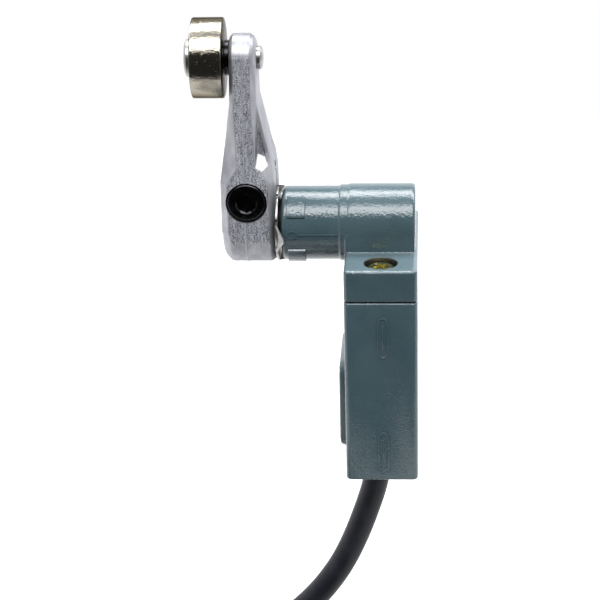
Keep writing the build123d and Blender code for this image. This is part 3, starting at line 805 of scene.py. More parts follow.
# ---- Casing ---------------------------------------------------------------------------------------
@dataclass
class Casing:
    """The enamelled lower case with its pad and label."""

    bottom: float = -33.0
    top: float = 9.6
    bottom_round: float = 0.45
    top_round: float = 0.4
    pad_depth: float = 1.6
    pad_half_y: float = 11.0
    pad_z: Pair = (-30.1, -9.0)
    pad_corner: float = 3.0
    pad_draft: float = 0.4
    mark_z: Pair = (-26.0, 1.5)
    mark_x: float = -7.6
    mark_half_length: float = 4.8
    mark_half_width: float = 1.3
    mark_line: float = 0.45
    mark_height: float = 0.16
    mount_radius: float = 2.6
    mount_y: float = 12.5
    cavity_x: Pair = (-14.2, -2.0)
    cavity_half_y: float = 8.4
    cavity_floor: float = -31.0
    entry_radius: float = 4.4
    screw_radius: float = 2.0
    screw_floor: float = 4.4
    label_half: Pair = (9.5, 9.0)
    label_thickness: float = 0.12

    def build(self) -> None:
        """Builds the case and its label."""
        piece("case", self._case(), Enamel(), "casing", "body_housing")
        piece("blank_label", self._label(), LabelFoil(), "casing", "rating_label")

    def _rounded_rectangle(self, half: Pair, middle_z: float, corner: float) -> list[Pair]:
        """The outline of a rounded rectangle on the front, as (Y, Z) points.

        Args:
            half: Half its width and half its height.
            middle_z: The height of its middle.
            corner: The radius of its corners.

        Returns:
            The outline.
        """
        reach_y, reach_z = half[0] - corner, half[1] - corner
        corners = [(reach_y, reach_z, 0), (-reach_y, reach_z, 90), (-reach_y, -reach_z, 180),
                   (reach_y, -reach_z, 270)]
        return [point for y, z, start in corners
                for point in arc((y, middle_z + z), corner, start, start + 90, 8)]

    def _pad(self) -> BMesh:
        """The raised front pad, with draft on its sides.

        Returns:
            The closed shape.
        """
        middle = sum(self.pad_z) / 2
        half_z = (self.pad_z[1] - self.pad_z[0]) / 2
        sections = []
        front = CASE_X[0]
        for x, inset in ((front + 1.0, 0.0), (front, 0.0), (front - self.pad_depth, self.pad_draft)):
            half = (self.pad_half_y - inset, half_z - inset)
            outline = self._rounded_rectangle(half, middle, self.pad_corner)
            sections.append([(x, y, z) for y, z in outline])
        pad = loft(sections)
        return rounded(pad, 0.3, 3, 40, lambda edge: all(v.co.x < front - 1.0 for v in edge.verts))

    def _mark(self, z: float) -> BMesh:
        """A raised oval outline with a bar in it, on the near side of the case.

        Args:
            z: The height of its middle.

        Returns:
            The outline and the bar.
        """
        half, width = self.mark_half_length, self.mark_half_width
        reach = half - width

        def oval(radius: float) -> list[Pair]:
            """The oval's outline at a distance from its spine."""
            return (arc((self.mark_x, z + reach), radius, 0, 180, 16)
                    + arc((self.mark_x, z - reach), radius, 180, 360, 16))

        face, proud = -CASE_HALF_Y + 0.3, -CASE_HALF_Y - self.mark_height
        ring = combined(prism(oval(width), Along.Y, proud, face),
                        (How.CUT, prism(oval(width - self.mark_line), Along.Y, proud - 1, face + 1)))
        bar_x = (self.mark_x - 0.2, self.mark_x + 0.2)
        bar = slab(bar_x, (proud, face), (z - reach + 0.6, z + reach - 0.6))
        return joined(rounded(ring, 0.07, 2, 40), rounded(bar, 0.07, 2, 40))

    def _case(self) -> BMesh:
        """The case itself: rounded box, pad, marks, cavity and holes.

        Returns:
            The closed shape.
        """
        box = slab(CASE_X, (-CASE_HALF_Y, CASE_HALF_Y), (self.bottom, self.top))
        rounded(box, CORNER_ROUND, 6, 30, is_upright)
        rounded(box, self.bottom_round, 4, 30, at_level(self.bottom))
        rounded(box, self.top_round, 3, 30, at_level(self.top))
        cuts = [slab(self.cavity_x, (-self.cavity_half_y, self.cavity_half_y),
                     (self.cavity_floor, self.top + 1)),
                rod(self.entry_radius, (self.bottom - 1, self.cavity_floor + 1), Along.Z,
                    (CABLE_X, 0, 0), 64)]
        for side in (-1, 1):
            hole = [(CASE_X[0] - 2, 0), (CASE_X[0] - 2, self.mount_radius + 2.4),
                    (CASE_X[0] + 0.4, self.mount_radius), (CASE_X[1] - 0.3, self.mount_radius),
                    (CASE_X[1] + 1, self.mount_radius + 1.3), (CASE_X[1] + 1, 0)]
            cuts.append(turned(hole, Along.X, (0, side * self.mount_y, 0), 64))
            screw_hole = (MID_X, side * HEAD_SCREW_Y, 0)
            cuts.append(rod(self.screw_radius, (self.screw_floor, self.top + 1), Along.Z, screw_hole, 32))
        adds = [(How.JOIN, self._pad())] + [(How.JOIN, self._mark(z)) for z in self.mark_z]
        return combined(box, *adds, *[(How.CUT, cut) for cut in cuts])

    def _label(self) -> BMesh:
        """The foil label on the pad.

        Returns:
            The closed shape.
        """
        face = CASE_X[0] - self.pad_depth
        outline = self._rounded_rectangle(self.label_half, sum(self.pad_z) / 2, 1.5)
        return rounded(prism(outline, Along.X, face - self.label_thickness, face), 0.05, 2, 40)


# ---- Rotary head ----------------------------------------------------------------------------------
@dataclass
class RotaryHead:
    """The enamelled head casting, its two screws and the seal in its nose."""

    block_radius: float = 8.75
    block_x: Pair = (-15.5, -0.5)
    lower_x: Pair = (-15.9, -0.7)
    nose_radius: float = 8.26
    nose_x: Pair = (-30.0, -14.0)
    collar_x: Pair = (-17.2, -15.0)
    lug_x: Pair = (-28.7, -24.7)
    lug_half_width: float = 2.7
    lug_places: tuple[int, ...] = (1, 2, 3)
    flange_round: float = 0.7
    nose_round: float = 0.9
    block_round: float = 0.35
    voxel: float = 0.21
    seal_radius: float = 6.4
    bore_steps: tuple[Pair, ...] = (
        (-27.8, 5.52), (-14.5, 5.52), (-14.5, 7.0), (-4.8, 7.0), (-4.8, 2.53), (-1.4, 2.53), (-1.4, 0),
    )
    cam_room_x: Pair = (-14.9, -4.8)
    cam_room_y: Pair = (-6.5, 6.5)
    cross_turns: Pair = (35, 125)
    counterbore: Pair = (3.55, 13.2)
    oval_x: Pair = (-28.9, -26.3)
    ridge_x: Pair = (-26.3, -17.0)
    oval_radii: Pair = (1.0, 0.7)
    oval_stretch: Point = (1.25, 1, 0.95)
    seal_section: tuple[Pair, ...] = (
        (-27.8, 4.03), (-30.4, 4.03), (-30.7, 4.3), (-30.7, 5.0), (-30.45, 5.5), (-29.5, 5.6), (-29.5, 5.75),
        (-29.75, 5.9), (-29.75, 6.25), (-29.55, 6.38), (-27.8, 6.38),
    )

    def build(self) -> None:
        """Builds the head and everything fitted in it."""
        piece("head", self._casting(), Enamel(), "casing", "head_casting", crease=40)
        for side, name in ((-1, "near"), (1, "far")):
            piece(f"head_screw_{name}", self._screw(side), YELLOW_ZINC, "casing",
                  *(["head_screws"] if side < 0 else []))
        piece("nose_seal", self._seal(), RUBBER, "casing", "shaft_seal")

    def _lug(self, index: int) -> BMesh:
        """One of the raised keys round the mouth of the nose.

        Args:
            index: Which quarter of the nose it is on.

        Returns:
            The closed shape.
        """
        bar = slab(self.lug_x, (5.0, 9.6), (-self.lug_half_width, self.lug_half_width))
        quarter = Matrix.Rotation(math.radians(45 + 90 * index), 4, "X")
        moved(bar, Matrix.Translation((0, 0, SHAFT_Z)) @ quarter)
        reach = (self.lug_x[0] - 1, self.lug_x[1] + 1)
        lug = combined(bar, (How.KEEP, rod(self.block_radius, reach, Along.X, (0, 0, SHAFT_Z), 160)))
        return rounded(lug, 0.14, 3)

    def _outer(self) -> BMesh:
        """The sharp outside of the casting, before its edges are softened.

        Returns:
            The closed shape.
        """
        flange = slab(CASE_X, (-CASE_HALF_Y, CASE_HALF_Y), FLANGE_Z)
        rounded(flange, CORNER_ROUND, 6, 30, is_upright)
        rounded(flange, self.flange_round, 4, 30, at_level(FLANGE_Z[1]))
        axis: Point = (0, 0, SHAFT_Z)
        low, high = self.block_x
        block = turned([(low, 0), (low, self.block_radius - self.block_round),
                        (low + self.block_round, self.block_radius),
                        (high - 0.8, self.block_radius), (high - 0.25, self.block_radius - 0.2),
                        (high, self.block_radius - 0.75), (high, 0)],
                       Along.X, axis, 192)
        under = slab(self.lower_x, (-self.block_radius, self.block_radius), (FLANGE_Z[1] - 1, SHAFT_Z))
        front, back = self.nose_x
        curve = self.nose_round
        rim = [(front + curve - curve * math.sin(t), self.nose_radius - curve + curve * math.cos(t))
               for t in (math.pi / 2, math.pi / 3, math.pi / 6, 0)]
        nose = turned([(front, 0), *rim, (back, self.nose_radius), (back, 0)], Along.X, axis, 192)
        collar = rod(self.nose_radius + 0.3, self.collar_x, Along.X, axis, 192)
        return combined(flange, *[(How.JOIN, add) for add in (block, under, nose, collar)])

    def _flash(self) -> list[BMesh]:
        """The oval ejector mark and the parting ridge on both sides of the nose.

        Returns:
            One shape for each mark and ridge.
        """
        shapes = []
        middle = sum(self.oval_x) / 2
        for side in (-1, 1):
            wall = sorted((side * 7.6, side * (self.nose_radius + 0.14)))
            ovals = []
            for radius, spare in zip(self.oval_radii, (0, 1)):
                outline = arc((middle, SHAFT_Z), radius, 0, 360, 32)[:-1]
                oval = prism(outline, Along.Y, wall[0] - spare, wall[1] + spare)
                bmesh.ops.scale(oval, vec=self.oval_stretch, verts=oval.verts,
                                space=Matrix.Translation((-middle, 0, -SHAFT_Z)))
                ovals.append(oval)
            shapes.append(rounded(combined(ovals[0], (How.CUT, ovals[1])), 0.05, 2, 40))
            low, high = sorted((side * 7.6, side * (self.nose_radius + 0.13)))
            ridge = slab(self.ridge_x, (low, high), (SHAFT_Z - 0.17, SHAFT_Z + 0.17))
            shapes.append(rounded(ridge, 0.07, 2))
        return shapes

    def _casting(self) -> BMesh:
        """The whole casting: softened outside, sharp machined bores.

        Returns:
            The closed shape.
        """
        head = cast_soft(self._outer(), self.voxel, 2)
        axis: Point = (0, 0, SHAFT_Z)
        front = self.nose_x[0]
        cuts = [
            turned([(front - 1, 0), (front - 1, self.seal_radius), (-27.8, self.seal_radius),
                    *self.bore_steps], Along.X, axis, 128),
            slab(self.cam_room_x, self.cam_room_y, (FLANGE_Z[0] - 1, SHAFT_Z)),
        ]
        radius, floor = self.counterbore
        for side in (-1, 1):
            bore = [(FLANGE_Z[0] - 1, 0), (FLANGE_Z[0] - 1, 2.2), (floor, 2.2), (floor, radius),
                    (FLANGE_Z[1] - 0.12, radius), (FLANGE_Z[1] + 0.3, radius + 0.42),
                    (FLANGE_Z[1] + 0.3, 0)]
            cuts.append(turned(bore, Along.Z, (MID_X, side * HEAD_SCREW_Y, 0), 96))
        marks = self._flash() + [self._lug(index) for index in self.lug_places]
        return combined(head, *[(How.JOIN, mark) for mark in marks], *[(How.CUT, cut) for cut in cuts])

    def _screw(self, side: int) -> BMesh:
        """A pan-head screw with a cross recess.

        Args:
            side: -1 for the near screw, 1 for the far one.

        Returns:
            The closed shape.
        """
        dome = [(16.4 - 0.9 * (1 - math.cos(t)), 2.2 + 0.9 * math.sin(t)) for t in
                (0, math.pi / 8, math.pi / 4, 3 * math.pi / 8, math.pi / 2)]
        profile = [(4.6, 0), (4.6, 1.6), (5.2, 2.0), (14.0, 2.0), (14.0, 3.0), (14.15, 3.1),
                   *reversed(dome), (16.4, 0)]
        screw = turned(profile, Along.Z, (MID_X, side * HEAD_SCREW_Y, 0), 64)
        cuts = []
        for turn in self.cross_turns:
            wing = slab((-2.2, 2.2), (-0.5, 0.5), (14.9, 17.0))
            taper = [v for v in wing.verts if v.co.z < 15.5]
            bmesh.ops.scale(wing, vec=(0.45, 0.7, 1), verts=taper)
            place = (Matrix.Translation((MID_X, side * HEAD_SCREW_Y, 0))
                     @ Matrix.Rotation(math.radians(turn), 4, "Z"))
            cuts.append((How.CUT, moved(wing, place)))
        return combined(screw, *cuts)

    def _seal(self) -> BMesh:
        """The lip seal at the mouth of the nose."""
        return turned(self.seal_section, Along.X, (0, 0, SHAFT_Z), 96)


# ---- Lever ----------------------------------------------------------------------------------------
@dataclass(frozen=True)
class Station:
    """A level section of the lever: a rectangle whose four long corners are bevelled.

    Each bevel is how far it reaches along X, and how far along Y.
    """

    z: float
    front: float
    back: float
    half_y: float
    front_bevel: Pair
    back_bevel: Pair

    def corners(self) -> list[Point]:
        """The section's eight corners in order."""
        near = [(self.front, self.half_y - self.front_bevel[1]),
                (self.front + self.front_bevel[0], self.half_y),
                (self.back - self.back_bevel[0], self.half_y),
                (self.back, self.half_y - self.back_bevel[1])]
        return [(x, y, self.z) for x, y in near] + [(x, -y, self.z) for x, y in reversed(near)]


@dataclass
class Lever:
    """The cast arm with its clamp screw, the shaft that it turns and the washer behind it."""

    stations: tuple[Station, ...] = (
        Station(11.0, -43.1, -31.3, 8.60, (1.7, 1.5), (1.3, 1.2)),
        Station(32.8, -43.1, -31.2, 8.12, (1.5, 1.5), (1.3, 1.2)),
        Station(36.6, -42.6, -31.6, 7.62, (3.4, 2.4), (2.6, 1.5)),
        Station(39.2, -42.2, -32.3, 7.30, (2.9, 2.2), (3.2, 1.8)),
        Station(50.2, -40.6, -34.7, 6.22, (0.9, 1.1), (1.3, 1.3)),
        Station(65.3, -40.5, -34.7, 4.72, (0.7, 0.9), (1.2, 1.0)),
    )
    hub_radius: float = 8.55
    hub_profile: tuple[Pair, ...] = (
        (-43.1, 0), (-43.1, 5.2), (-42.9, 6.2), (-42.4, 7.3), (-41.3, 8.4), (-40.6, 8.55), (-32.4, 8.55),
        (-31.3, 7.7), (-31.3, 0),
    )
    boss_radius: float = 5.3
    boss_profile: tuple[Pair, ...] = (
        (-40.5, 0), (-40.5, 4.5), (-39.8, 5.3), (-36.1, 5.3), (-35.2, 4.7), (-34.7, 3.6), (-34.7, 0),
    )
    pocket_inner: tuple[Pair, ...] = ((-34.9, 47.2), (-32.9, 38.3), (-34.9, 39.1))
    pocket_outer: tuple[Pair, ...] = ((-35.2, 47.9), (-31.5, 31.7), (-35.7, 33.4))
    pocket_y: Pair = (5.5, 10.0)
    slot_half: float = 0.6
    slot_top: float = 34.4
    shaft_radius: float = 4.0
    pin_radius: float = 2.5
    screw_head: float = 4.3
    recess_y: float = -3.4
    seam_x: float = -37.7
    seam_proud: float = 0.10
    voxel: float = 0.17
    tab_angles: tuple[float, ...] = (-82, 8, 98, 188)
    tab_bend: float = -50.0
    tab_radius: float = 7.55
    tab_outline: tuple[Pair, ...] = (
        (-0.35, -3.2), (0.25, -3.2), (2.25, -0.6), (2.4, 0.0), (2.25, 0.6), (0.25, 3.2), (-0.35, 3.2),
    )
    slot_count: int = 8
    shaft_back: tuple[Pair, ...] = (
        (-14.85, 3.3), (-14.15, 3.3), (-14.15, 4.0), (-13.6, 4.0), (-13.6, 3.5), (-5.2, 3.5), (-5.2, 2.5),
        (-1.8, 2.5), (-1.6, 2.3), (-1.6, 0),
    )
    socket_half: float = 2.3

    def build(self) -> None:
        """Builds the arm, its screw, the washer and the shaft."""
        piece("lever_casting", self._arm(), RawCasting(), "lever", "lever_arm", crease=40)
        piece("clamp_screw", self._clamp_screw(), BLACKENED, "lever", "lever_clamp_screw")
        piece("lock_washer", self._washer(), DULL_PLATE, "lever", "tab_washer")
        piece("lever_shaft", self._shaft(), DULL_PLATE, "lever", "actuator_shaft")

    def _silhouette(self, grow: float) -> list[Pair]:
        """The arm seen along the shaft, as (Y, Z) points, grown by a margin.

        Args:
            grow: The margin.

        Returns:
            The outline.
        """
        sides = [(station.half_y, station.z) for station in self.stations[1:-1]]
        sides = [(8.38, SHAFT_Z), *sides, (self.boss_radius, ROLLER_Z)]
        right = [(y + grow, z) for y, z in sides]
        left = [(-y, z) for y, z in reversed(right)]
        return (arc((0, SHAFT_Z), self.hub_radius + grow, 180, 360, 48)[1:-1] + right
                + arc((0, ROLLER_Z), self.boss_radius + grow, 0, 180, 32)[1:-1] + left)

    def _outer(self) -> BMesh:
        """The sharp outside of the arm.

        Returns:
            The closed shape.
        """
        arm = loft([station.corners() for station in self.stations])
        limits = combined(slab((-46, -29), (-12, 12), (SHAFT_Z, ROLLER_Z)),
                          (How.JOIN, turned(self.hub_profile, Along.X, (0, 0, SHAFT_Z), 160)),
                          (How.JOIN, turned(self.boss_profile, Along.X, (0, 0, ROLLER_Z), 128)))
        pockets = []
        for side in (-1, 1):
            levels = zip(self.pocket_y, (self.pocket_inner, self.pocket_outer))
            pockets.append(loft([[(x, side * y, z) for x, z in outline] for y, outline in levels]))
        return combined(arm, (How.KEEP, limits), *[(How.CUT, pocket) for pocket in pockets])

    def _seam(self) -> BMesh:
        """The fine parting line that runs round the casting."""
        plate = prism(self._silhouette(self.seam_proud), Along.X, self.seam_x - 0.16, self.seam_x + 0.16)
        return rounded(plate, 0.07, 2, 60)

    def _arm(self) -> BMesh:
        """The arm: softened casting, parting line, and machined holes and slot.

        Returns:
            The closed shape.
        """
        arm = cast_soft(self._outer(), self.voxel, 3)
        shaft: Point = (0, 0, SHAFT_Z)
        wide = (HUB_X[0] - 1, HUB_X[1] + 1)
        clamp: Point = (CLAMP_X, 0, CLAMP_Z)
        head = self.screw_head + 0.25
        bore = [(-12, 0), (-12, head), (self.recess_y, head),
                (self.recess_y, 2.7), (12, 2.7), (12, 0)]
        cuts = [
            rod(self.shaft_radius + 0.01, wide, Along.X, shaft, 96),
            slab(wide, (-self.slot_half, self.slot_half), (SHAFT_Z, self.slot_top)),
            rod(1.2, wide, Along.X, (0, 0, self.slot_top), 48),
            rod(self.pin_radius + 0.01, wide, Along.X, (0, 0, ROLLER_Z), 64),
            turned(bore, Along.Y, clamp, 128),
        ]
        return combined(arm, (How.JOIN, self._seam()), *[(How.CUT, cut) for cut in cuts])

    def _clamp_screw(self) -> BMesh:
        """The socket-head cap screw.

        Returns:
            The closed shape.
        """
        radius = self.screw_head
        profile = [(-8.2, 0), (-8.2, radius - 0.55), (-8.05, radius - 0.2), (-7.75, radius), (-3.6, radius),
                   (-3.4, radius - 0.2), (-3.4, 2.5), (7.0, 2.5), (7.4, 2.1), (7.4, 0)]
        screw = turned(profile, Along.Y, (CLAMP_X, 0, CLAMP_Z), 128)
        flat = self.socket_half
        hexagon = [(CLAMP_X + a, CLAMP_Z + b) for a, b in arc((0, 0), flat, 30, 390, 6)[:-1]]
        socket = prism(hexagon, Along.Y, -9.0, -5.6)
        lead_in = turned([(-9.0, 0), (-9.0, flat + 0.95), (-7.85, flat - 0.2), (-7.85, 0)], Along.Y,
                         (CLAMP_X, 0, CLAMP_Z), 64)
        drill = turned([(-5.7, 0), (-5.7, 1.9), (-4.9, 0)], Along.Y, (CLAMP_X, 0, CLAMP_Z), 48)
        return combined(screw, (How.CUT, socket), (How.CUT, lead_in), (How.CUT, drill))

    def _washer(self) -> BMesh:
        """The slotted washer whose tabs are bent towards the nose.

        Returns:
            The closed shape.
        """
        x = HUB_X[1]
        section = [(x, 4.05), (x, 8.15), (x + 0.08, 8.2), (x + 0.47, 8.2), (x + 0.55, 8.15),
                   (x + 0.55, 4.05)]
        disc = turned(section, Along.X, (0, 0, SHAFT_Z), 160)
        steps = []
        for index in range(self.slot_count):
            turn = Matrix.Rotation(math.tau * (index + 0.5) / self.slot_count, 4, "X")
            slot = slab((x - 1, x + 1), (5.9, 9.5), (-0.33, 0.33))
            steps.append((How.CUT, moved(slot, Matrix.Translation((0, 0, SHAFT_Z)) @ turn)))
        for angle in self.tab_angles:
            tab = rounded(prism(self.tab_outline, Along.X, -0.16, 0.16), 0.06, 2, 50)
            place = (Matrix.Translation((x + 0.19, 0, SHAFT_Z))
                     @ Matrix.Rotation(math.radians(angle), 4, "X")
                     @ Matrix.Translation((0, self.tab_radius, 0))
                     @ Matrix.Rotation(math.radians(self.tab_bend), 4, "Z"))
            steps.append((How.JOIN, moved(tab, place)))
        return combined(disc, *steps)

    def _shaft(self) -> BMesh:
        """The shaft, with its slotted front end, clip groove and cross hole.

        Returns:
            The closed shape.
        """
        radius = self.shaft_radius
        profile = [(-43.2, 0), (-43.2, radius - 0.5), (-42.7, radius), (-14.85, radius), *self.shaft_back]
        shaft = turned(profile, Along.X, (0, 0, SHAFT_Z), 96)
        slot = slab((-44.0, -42.4), (-radius - 1, radius + 1), (SHAFT_Z - 0.5, SHAFT_Z + 0.5))
        hole = rod(0.76, (SHAFT_Z - 5, SHAFT_Z + 5), Along.Z, (-8.5, 0, 0), 32)
        return combined(shaft, (How.CUT, slot), (How.CUT, hole))


# ---- Roller ---------------------------------------------------------------------------------------
@dataclass
class RollerSet:
    """The roller, its riveted pin and the dark spacer behind it."""

    roller_x: Pair = (-48.7, -41.8)
    roller_radius: float = 8.75
    pin_radius: float = 2.5
    head_radius: float = 4.15
    head_x: Pair = (-50.3, -48.75)
    tail_x: float = -33.4

    def build(self) -> None:
        """Builds the three pieces."""
        axis: Point = (0, 0, ROLLER_Z)
        low, high = self.roller_x
        radius, edge = self.roller_radius, 0.35
        tyre = [(low + 0.4, self.pin_radius + 0.05), (low + 0.4, 4.9), (low, 5.2), (low, radius - edge),
                (low + edge * 0.3, radius - edge * 0.3), (low + edge, radius), (high - edge, radius),
                (high - edge * 0.3, radius - edge * 0.3), (high, radius - edge),
                (high, self.pin_radius + 0.3), (high - 0.25, self.pin_radius + 0.05)]
        piece("roller_tyre", turned(tyre, Along.X, axis, 192), SinteredSteel(), "roller", "roller",
              crease=30)
        start, face = self.head_x
        back = BOSS_X[1]
        rivet = [(start, 0), (start, self.head_radius - 0.75), (start + 0.18, self.head_radius - 0.3),
                 (start + 0.5, self.head_radius), (face - 0.1, self.head_radius),
                 (face, self.head_radius - 0.1), (face, self.pin_radius), (back, self.pin_radius),
                 (back, 2.55), (self.tail_x - 0.5, 2.55), (self.tail_x - 0.12, 2.2), (self.tail_x, 1.7),
                 (self.tail_x, 0.9), (self.tail_x - 0.3, 0.0)]
        piece("roller_rivet", turned(rivet, Along.X, axis, 96), DULL_PLATE, "lever", "roller_pin",
              crease=30)
        near, far = high + 0.1, BOSS_X[0]
        collar = [(near, self.pin_radius + 0.03), (near, 3.7), (near + 0.2, 3.9), (far - 0.2, 3.9),
                  (far, 3.7), (far, self.pin_radius + 0.03)]
        piece("roller_collar", turned(collar, Along.X, axis, 96), BLACKENED, "lever", "roller_spacer")


# ---- Cable ----------------------------------------------------------------------------------------
@dataclass
class Cable:
    """The moulded-in cable: grommet, jacketed cord wound into a tied coil, and its bare cores."""

    radius: float = 3.0
    length: float = 1.0
    grommet_end: float = -38.0
    grommet_ribs: tuple[Pair, ...] = ((-34.0, 4.86), (-35.7, 4.5), (-37.3, 4.2))
    route: tuple[Point, ...] = (
        (-9.3, 0, -38.0), (-9.75, 0, -42.6), (-11.9, 0, -49.8), (-14.8, 0, -58.0), (-18.6, 0, -66.2),
        (-24.2, -0.3, -74.0), (-31.6, -1.2, -80.7), (-39.8, -3.4, -85.2), (-47.7, -6.3, -87.0),
    )
    coil_centre: Pair = (-44.2, -42.0)
    coil_inner: float = 29.5
    coil_outer: float = 35.7
    coil_levels: tuple[float, float, float] = (-87.0, -80.8, -75.1)
    coil_start: float = 100.0
    coil_end: float = 1643.0
    coil_step: float = 15.0
    tail: tuple[Point, ...] = (
        (215, 35.0, -75.1), (227, 39.2, -75.9), (239, 42.4, -79.0), (251, 43.9, -82.8), (263, 44.7, -85.9),
        (275, 45.1, -87.0),
    )
    lead_radius: float = 0.95
    lead_routes: dict[str, tuple[Point, ...]] = field(default_factory=lambda: {
        "lead_black": ((-40.36, -85.93, -86.0), (-37.2, -85.8, -86.5), (-29.2, -84.4, -89.05),
                       (-21.6, -79.4, -89.05), (-14.2, -73.0, -89.05), (-9.6, -66.0, -89.05)),
        "lead_white": ((-40.18, -87.93, -86.0), (-37.0, -87.7, -86.7), (-29.6, -87.0, -89.05),
                       (-20.8, -85.0, -89.05), (-12.6, -81.0, -89.05), (-5.6, -75.0, -89.05)),
        "lead_red": ((-40.36, -85.93, -88.0), (-37.2, -84.9, -88.6), (-31.0, -81.2, -89.05),
                     (-23.4, -76.4, -89.05), (-15.8, -70.6, -89.05), (-12.6, -66.0, -89.05)),
        "lead_green": ((-40.18, -87.93, -88.0), (-37.0, -88.8, -88.6), (-30.0, -90.4, -89.05),
                       (-21.6, -90.0, -89.05), (-13.4, -88.0, -89.05), (-6.0, -84.0, -89.05)),
    })
    strand_length: float = 6.0
    strand_twist: float = 260.0
    lead_slack: float = 0.985
    tie_angles: Pair = (20.0, 190.0)
    tie_z: Pair = (-90.0, -72.3)
    tie_thickness: float = 0.5
    tie_half_width: float = 1.8

    def build(self) -> None:
        piece("entry_grommet", self._grommet(), RUBBER, "casing", "cable_grommet")
        ties = [piece(f"tie_{index + 1}", self._tie(angle), NYLON, "casing",
                      *(["coil_ties"] if index == 0 else []))
                for index, angle in enumerate(self.tie_angles)]
        cord = self._curve("jacket", self._points(), self.radius, JACKET)
        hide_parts("cable", "cable_coil", "cable_tail")
        strands = piece("core_strands", joined(*map(self._strand, self.lead_routes.values())), COPPER,
                        "casing", "lead_tips")
        for index, (name, points) in enumerate(self.lead_routes.items()):
            core = self._curve(f"core_{index + 1}", points, self.lead_radius, LEAD_FINISHES[name])
            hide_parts(name)

    def _coil_place(self, angle: float) -> tuple[float, float]:
        """The cord's distance from the coil's centre and its height at an angle of the winding.

        Args:
            angle: The angle, in degrees, counted on from the first turn.

        Returns:
            The distance and the height.
        """
        turn = (angle - self.coil_start) / 360

        def eased(start: float, width: float = 0.15) -> float:
            """Rises smoothly from 0 to 1 over a part of a turn."""
            share = min(1.0, max(0.0, (turn - start) / width))
            return share * share * (3 - 2 * share)

        inner, outer = self.coil_inner, self.coil_outer
        low, middle, top = self.coil_levels
        across = outer + (inner - outer) * (eased(0.85) - eased(2.60)) - (outer - inner) / 2 * eased(3.50)
        height = low + (middle - low) * eased(1.72) + (top - middle) * eased(3.50)
        return across, height

    def _points(self) -> list[Point]:
        """The cord's route: free run, coil, and loose end.

        Returns:
            The control points.
        """
        points = list(self.route)
        angle = self.coil_start + 10
        while angle < self.coil_end:
            across, height = self._coil_place(angle)
            points.append(self._about_coil(angle, across * 1.006, height))
            angle += self.coil_step
        return points + [self._about_coil(*spot) for spot in self.tail]

    def _about_coil(self, angle: float, across: float, z: float) -> Point:
        """A point given by its angle about the coil's centre, its distance from it and its height.

        Args:
            angle: The angle, in degrees.
            across: The distance.
            z: The height.

        Returns:
            The point.
        """
        turn = math.radians(angle)
        x, y = self.coil_centre
        return (x + across * math.cos(turn), y + across * math.sin(turn), z)

    @staticmethod
    def _curve(name: str, points: Sequence[Point], radius: float, finish: Finish) -> Object:
        """A round cord along a smooth line with these control points.

        Args:
            name: The piece's name.
            points: The control points.
            radius: The cord's radius.
            finish: Its finish.

        Returns:
            The finished object.
        """
        curve = bpy.data.curves.new(name, "CURVE")
        curve.dimensions = "3D"
        curve.bevel_depth, curve.bevel_resolution, curve.resolution_u = radius * MM, 6, 8
        curve.use_fill_caps = True
        spline = curve.splines.new("NURBS")
        spline.points.add(len(points) - 1)
        for target, point in zip(spline.points, points):
            target.co = (*[value * MM for value in point], 1.0)
        spline.order_u = 3
        spline.use_endpoint_u = True
        curve.materials.append(finish.material())
        made = bpy.data.objects.new(name, curve)
        bpy.context.scene.collection.objects.link(made)
        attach(made, "casing")
        LOG.info("%s: a cord with %d control points", name, len(points))
        return made

    def _strand(self, points: Sequence[Point]) -> BMesh:
        """The bare twisted wires beyond one core's insulation.

        Args:
            points: The core's route.

        Returns:
            The wires, as separate shells.
        """
        last, before = Vector(points[-1]), Vector(points[-2])
        ahead = last - before
        hidden = 0.6
        steps = 24
        wires = [rod(0.19, (-hidden, self.strand_length), Along.Z, (0, 0, 0), 8)]
        for index in range(6):
            wire = bmesh.new()
            ring = bmesh.ops.create_circle(wire, cap_ends=True, radius=0.17, segments=8)["verts"]
            start = math.radians(60 * index)
            place = (0.33 * math.cos(start), 0.33 * math.sin(start), -hidden)
            bmesh.ops.translate(wire, vec=place, verts=ring)
            bmesh.ops.spin(wire, geom=wire.faces[:], cent=(0, 0, 0), axis=(0, 0, 1),
                           dvec=(0, 0, (self.strand_length + hidden) / steps),
                           angle=math.radians(self.strand_twist), steps=steps)
            bmesh.ops.recalc_face_normals(wire, faces=wire.faces)
            wires.append(wire)
        place = Matrix.Translation(last) @ ahead.to_track_quat("Z", "Y").to_matrix().to_4x4()
        return moved(joined(*wires), place)

    def _grommet(self) -> BMesh:
        """The ribbed rubber sleeve under the case, with its neck in the case's floor.

        Returns:
            The closed shape.
        """
        bore = self.radius + 0.01
        ribs: list[Pair] = []
        for middle, at in self.grommet_ribs:
            ribs += [(middle + 0.62, at - 0.75), (middle + 0.5, at - 0.12), (middle + 0.32, at),
                     (middle - 0.32, at - 0.06), (middle - 0.5, at - 0.2), (middle - 0.62, at - 0.8)]
        section = [(-30.0, bore), (-30.0, 4.7), (-31.0, 4.7), (-31.0, 4.35), (-33.0, 4.35), (-33.0, 4.9),
                   *ribs, (self.grommet_end, 3.5), (self.grommet_end, bore)]
        return rounded(turned(section, Along.Z, (CABLE_X, 0, 0), 80), 0.05, 2, 40)

    def _tie(self, angle: float) -> BMesh:
        """A strap round the coil with its lock and cut tail.

        Args:
            angle: Where on the coil it is, in degrees.

        Returns:
            The strap, its lock and its tail.
        """
        low, high = self.coil_inner - self.radius - 0.1, self.coil_outer + self.radius
        floor, top = self.tie_z
        wall, half = self.tie_thickness, self.tie_half_width

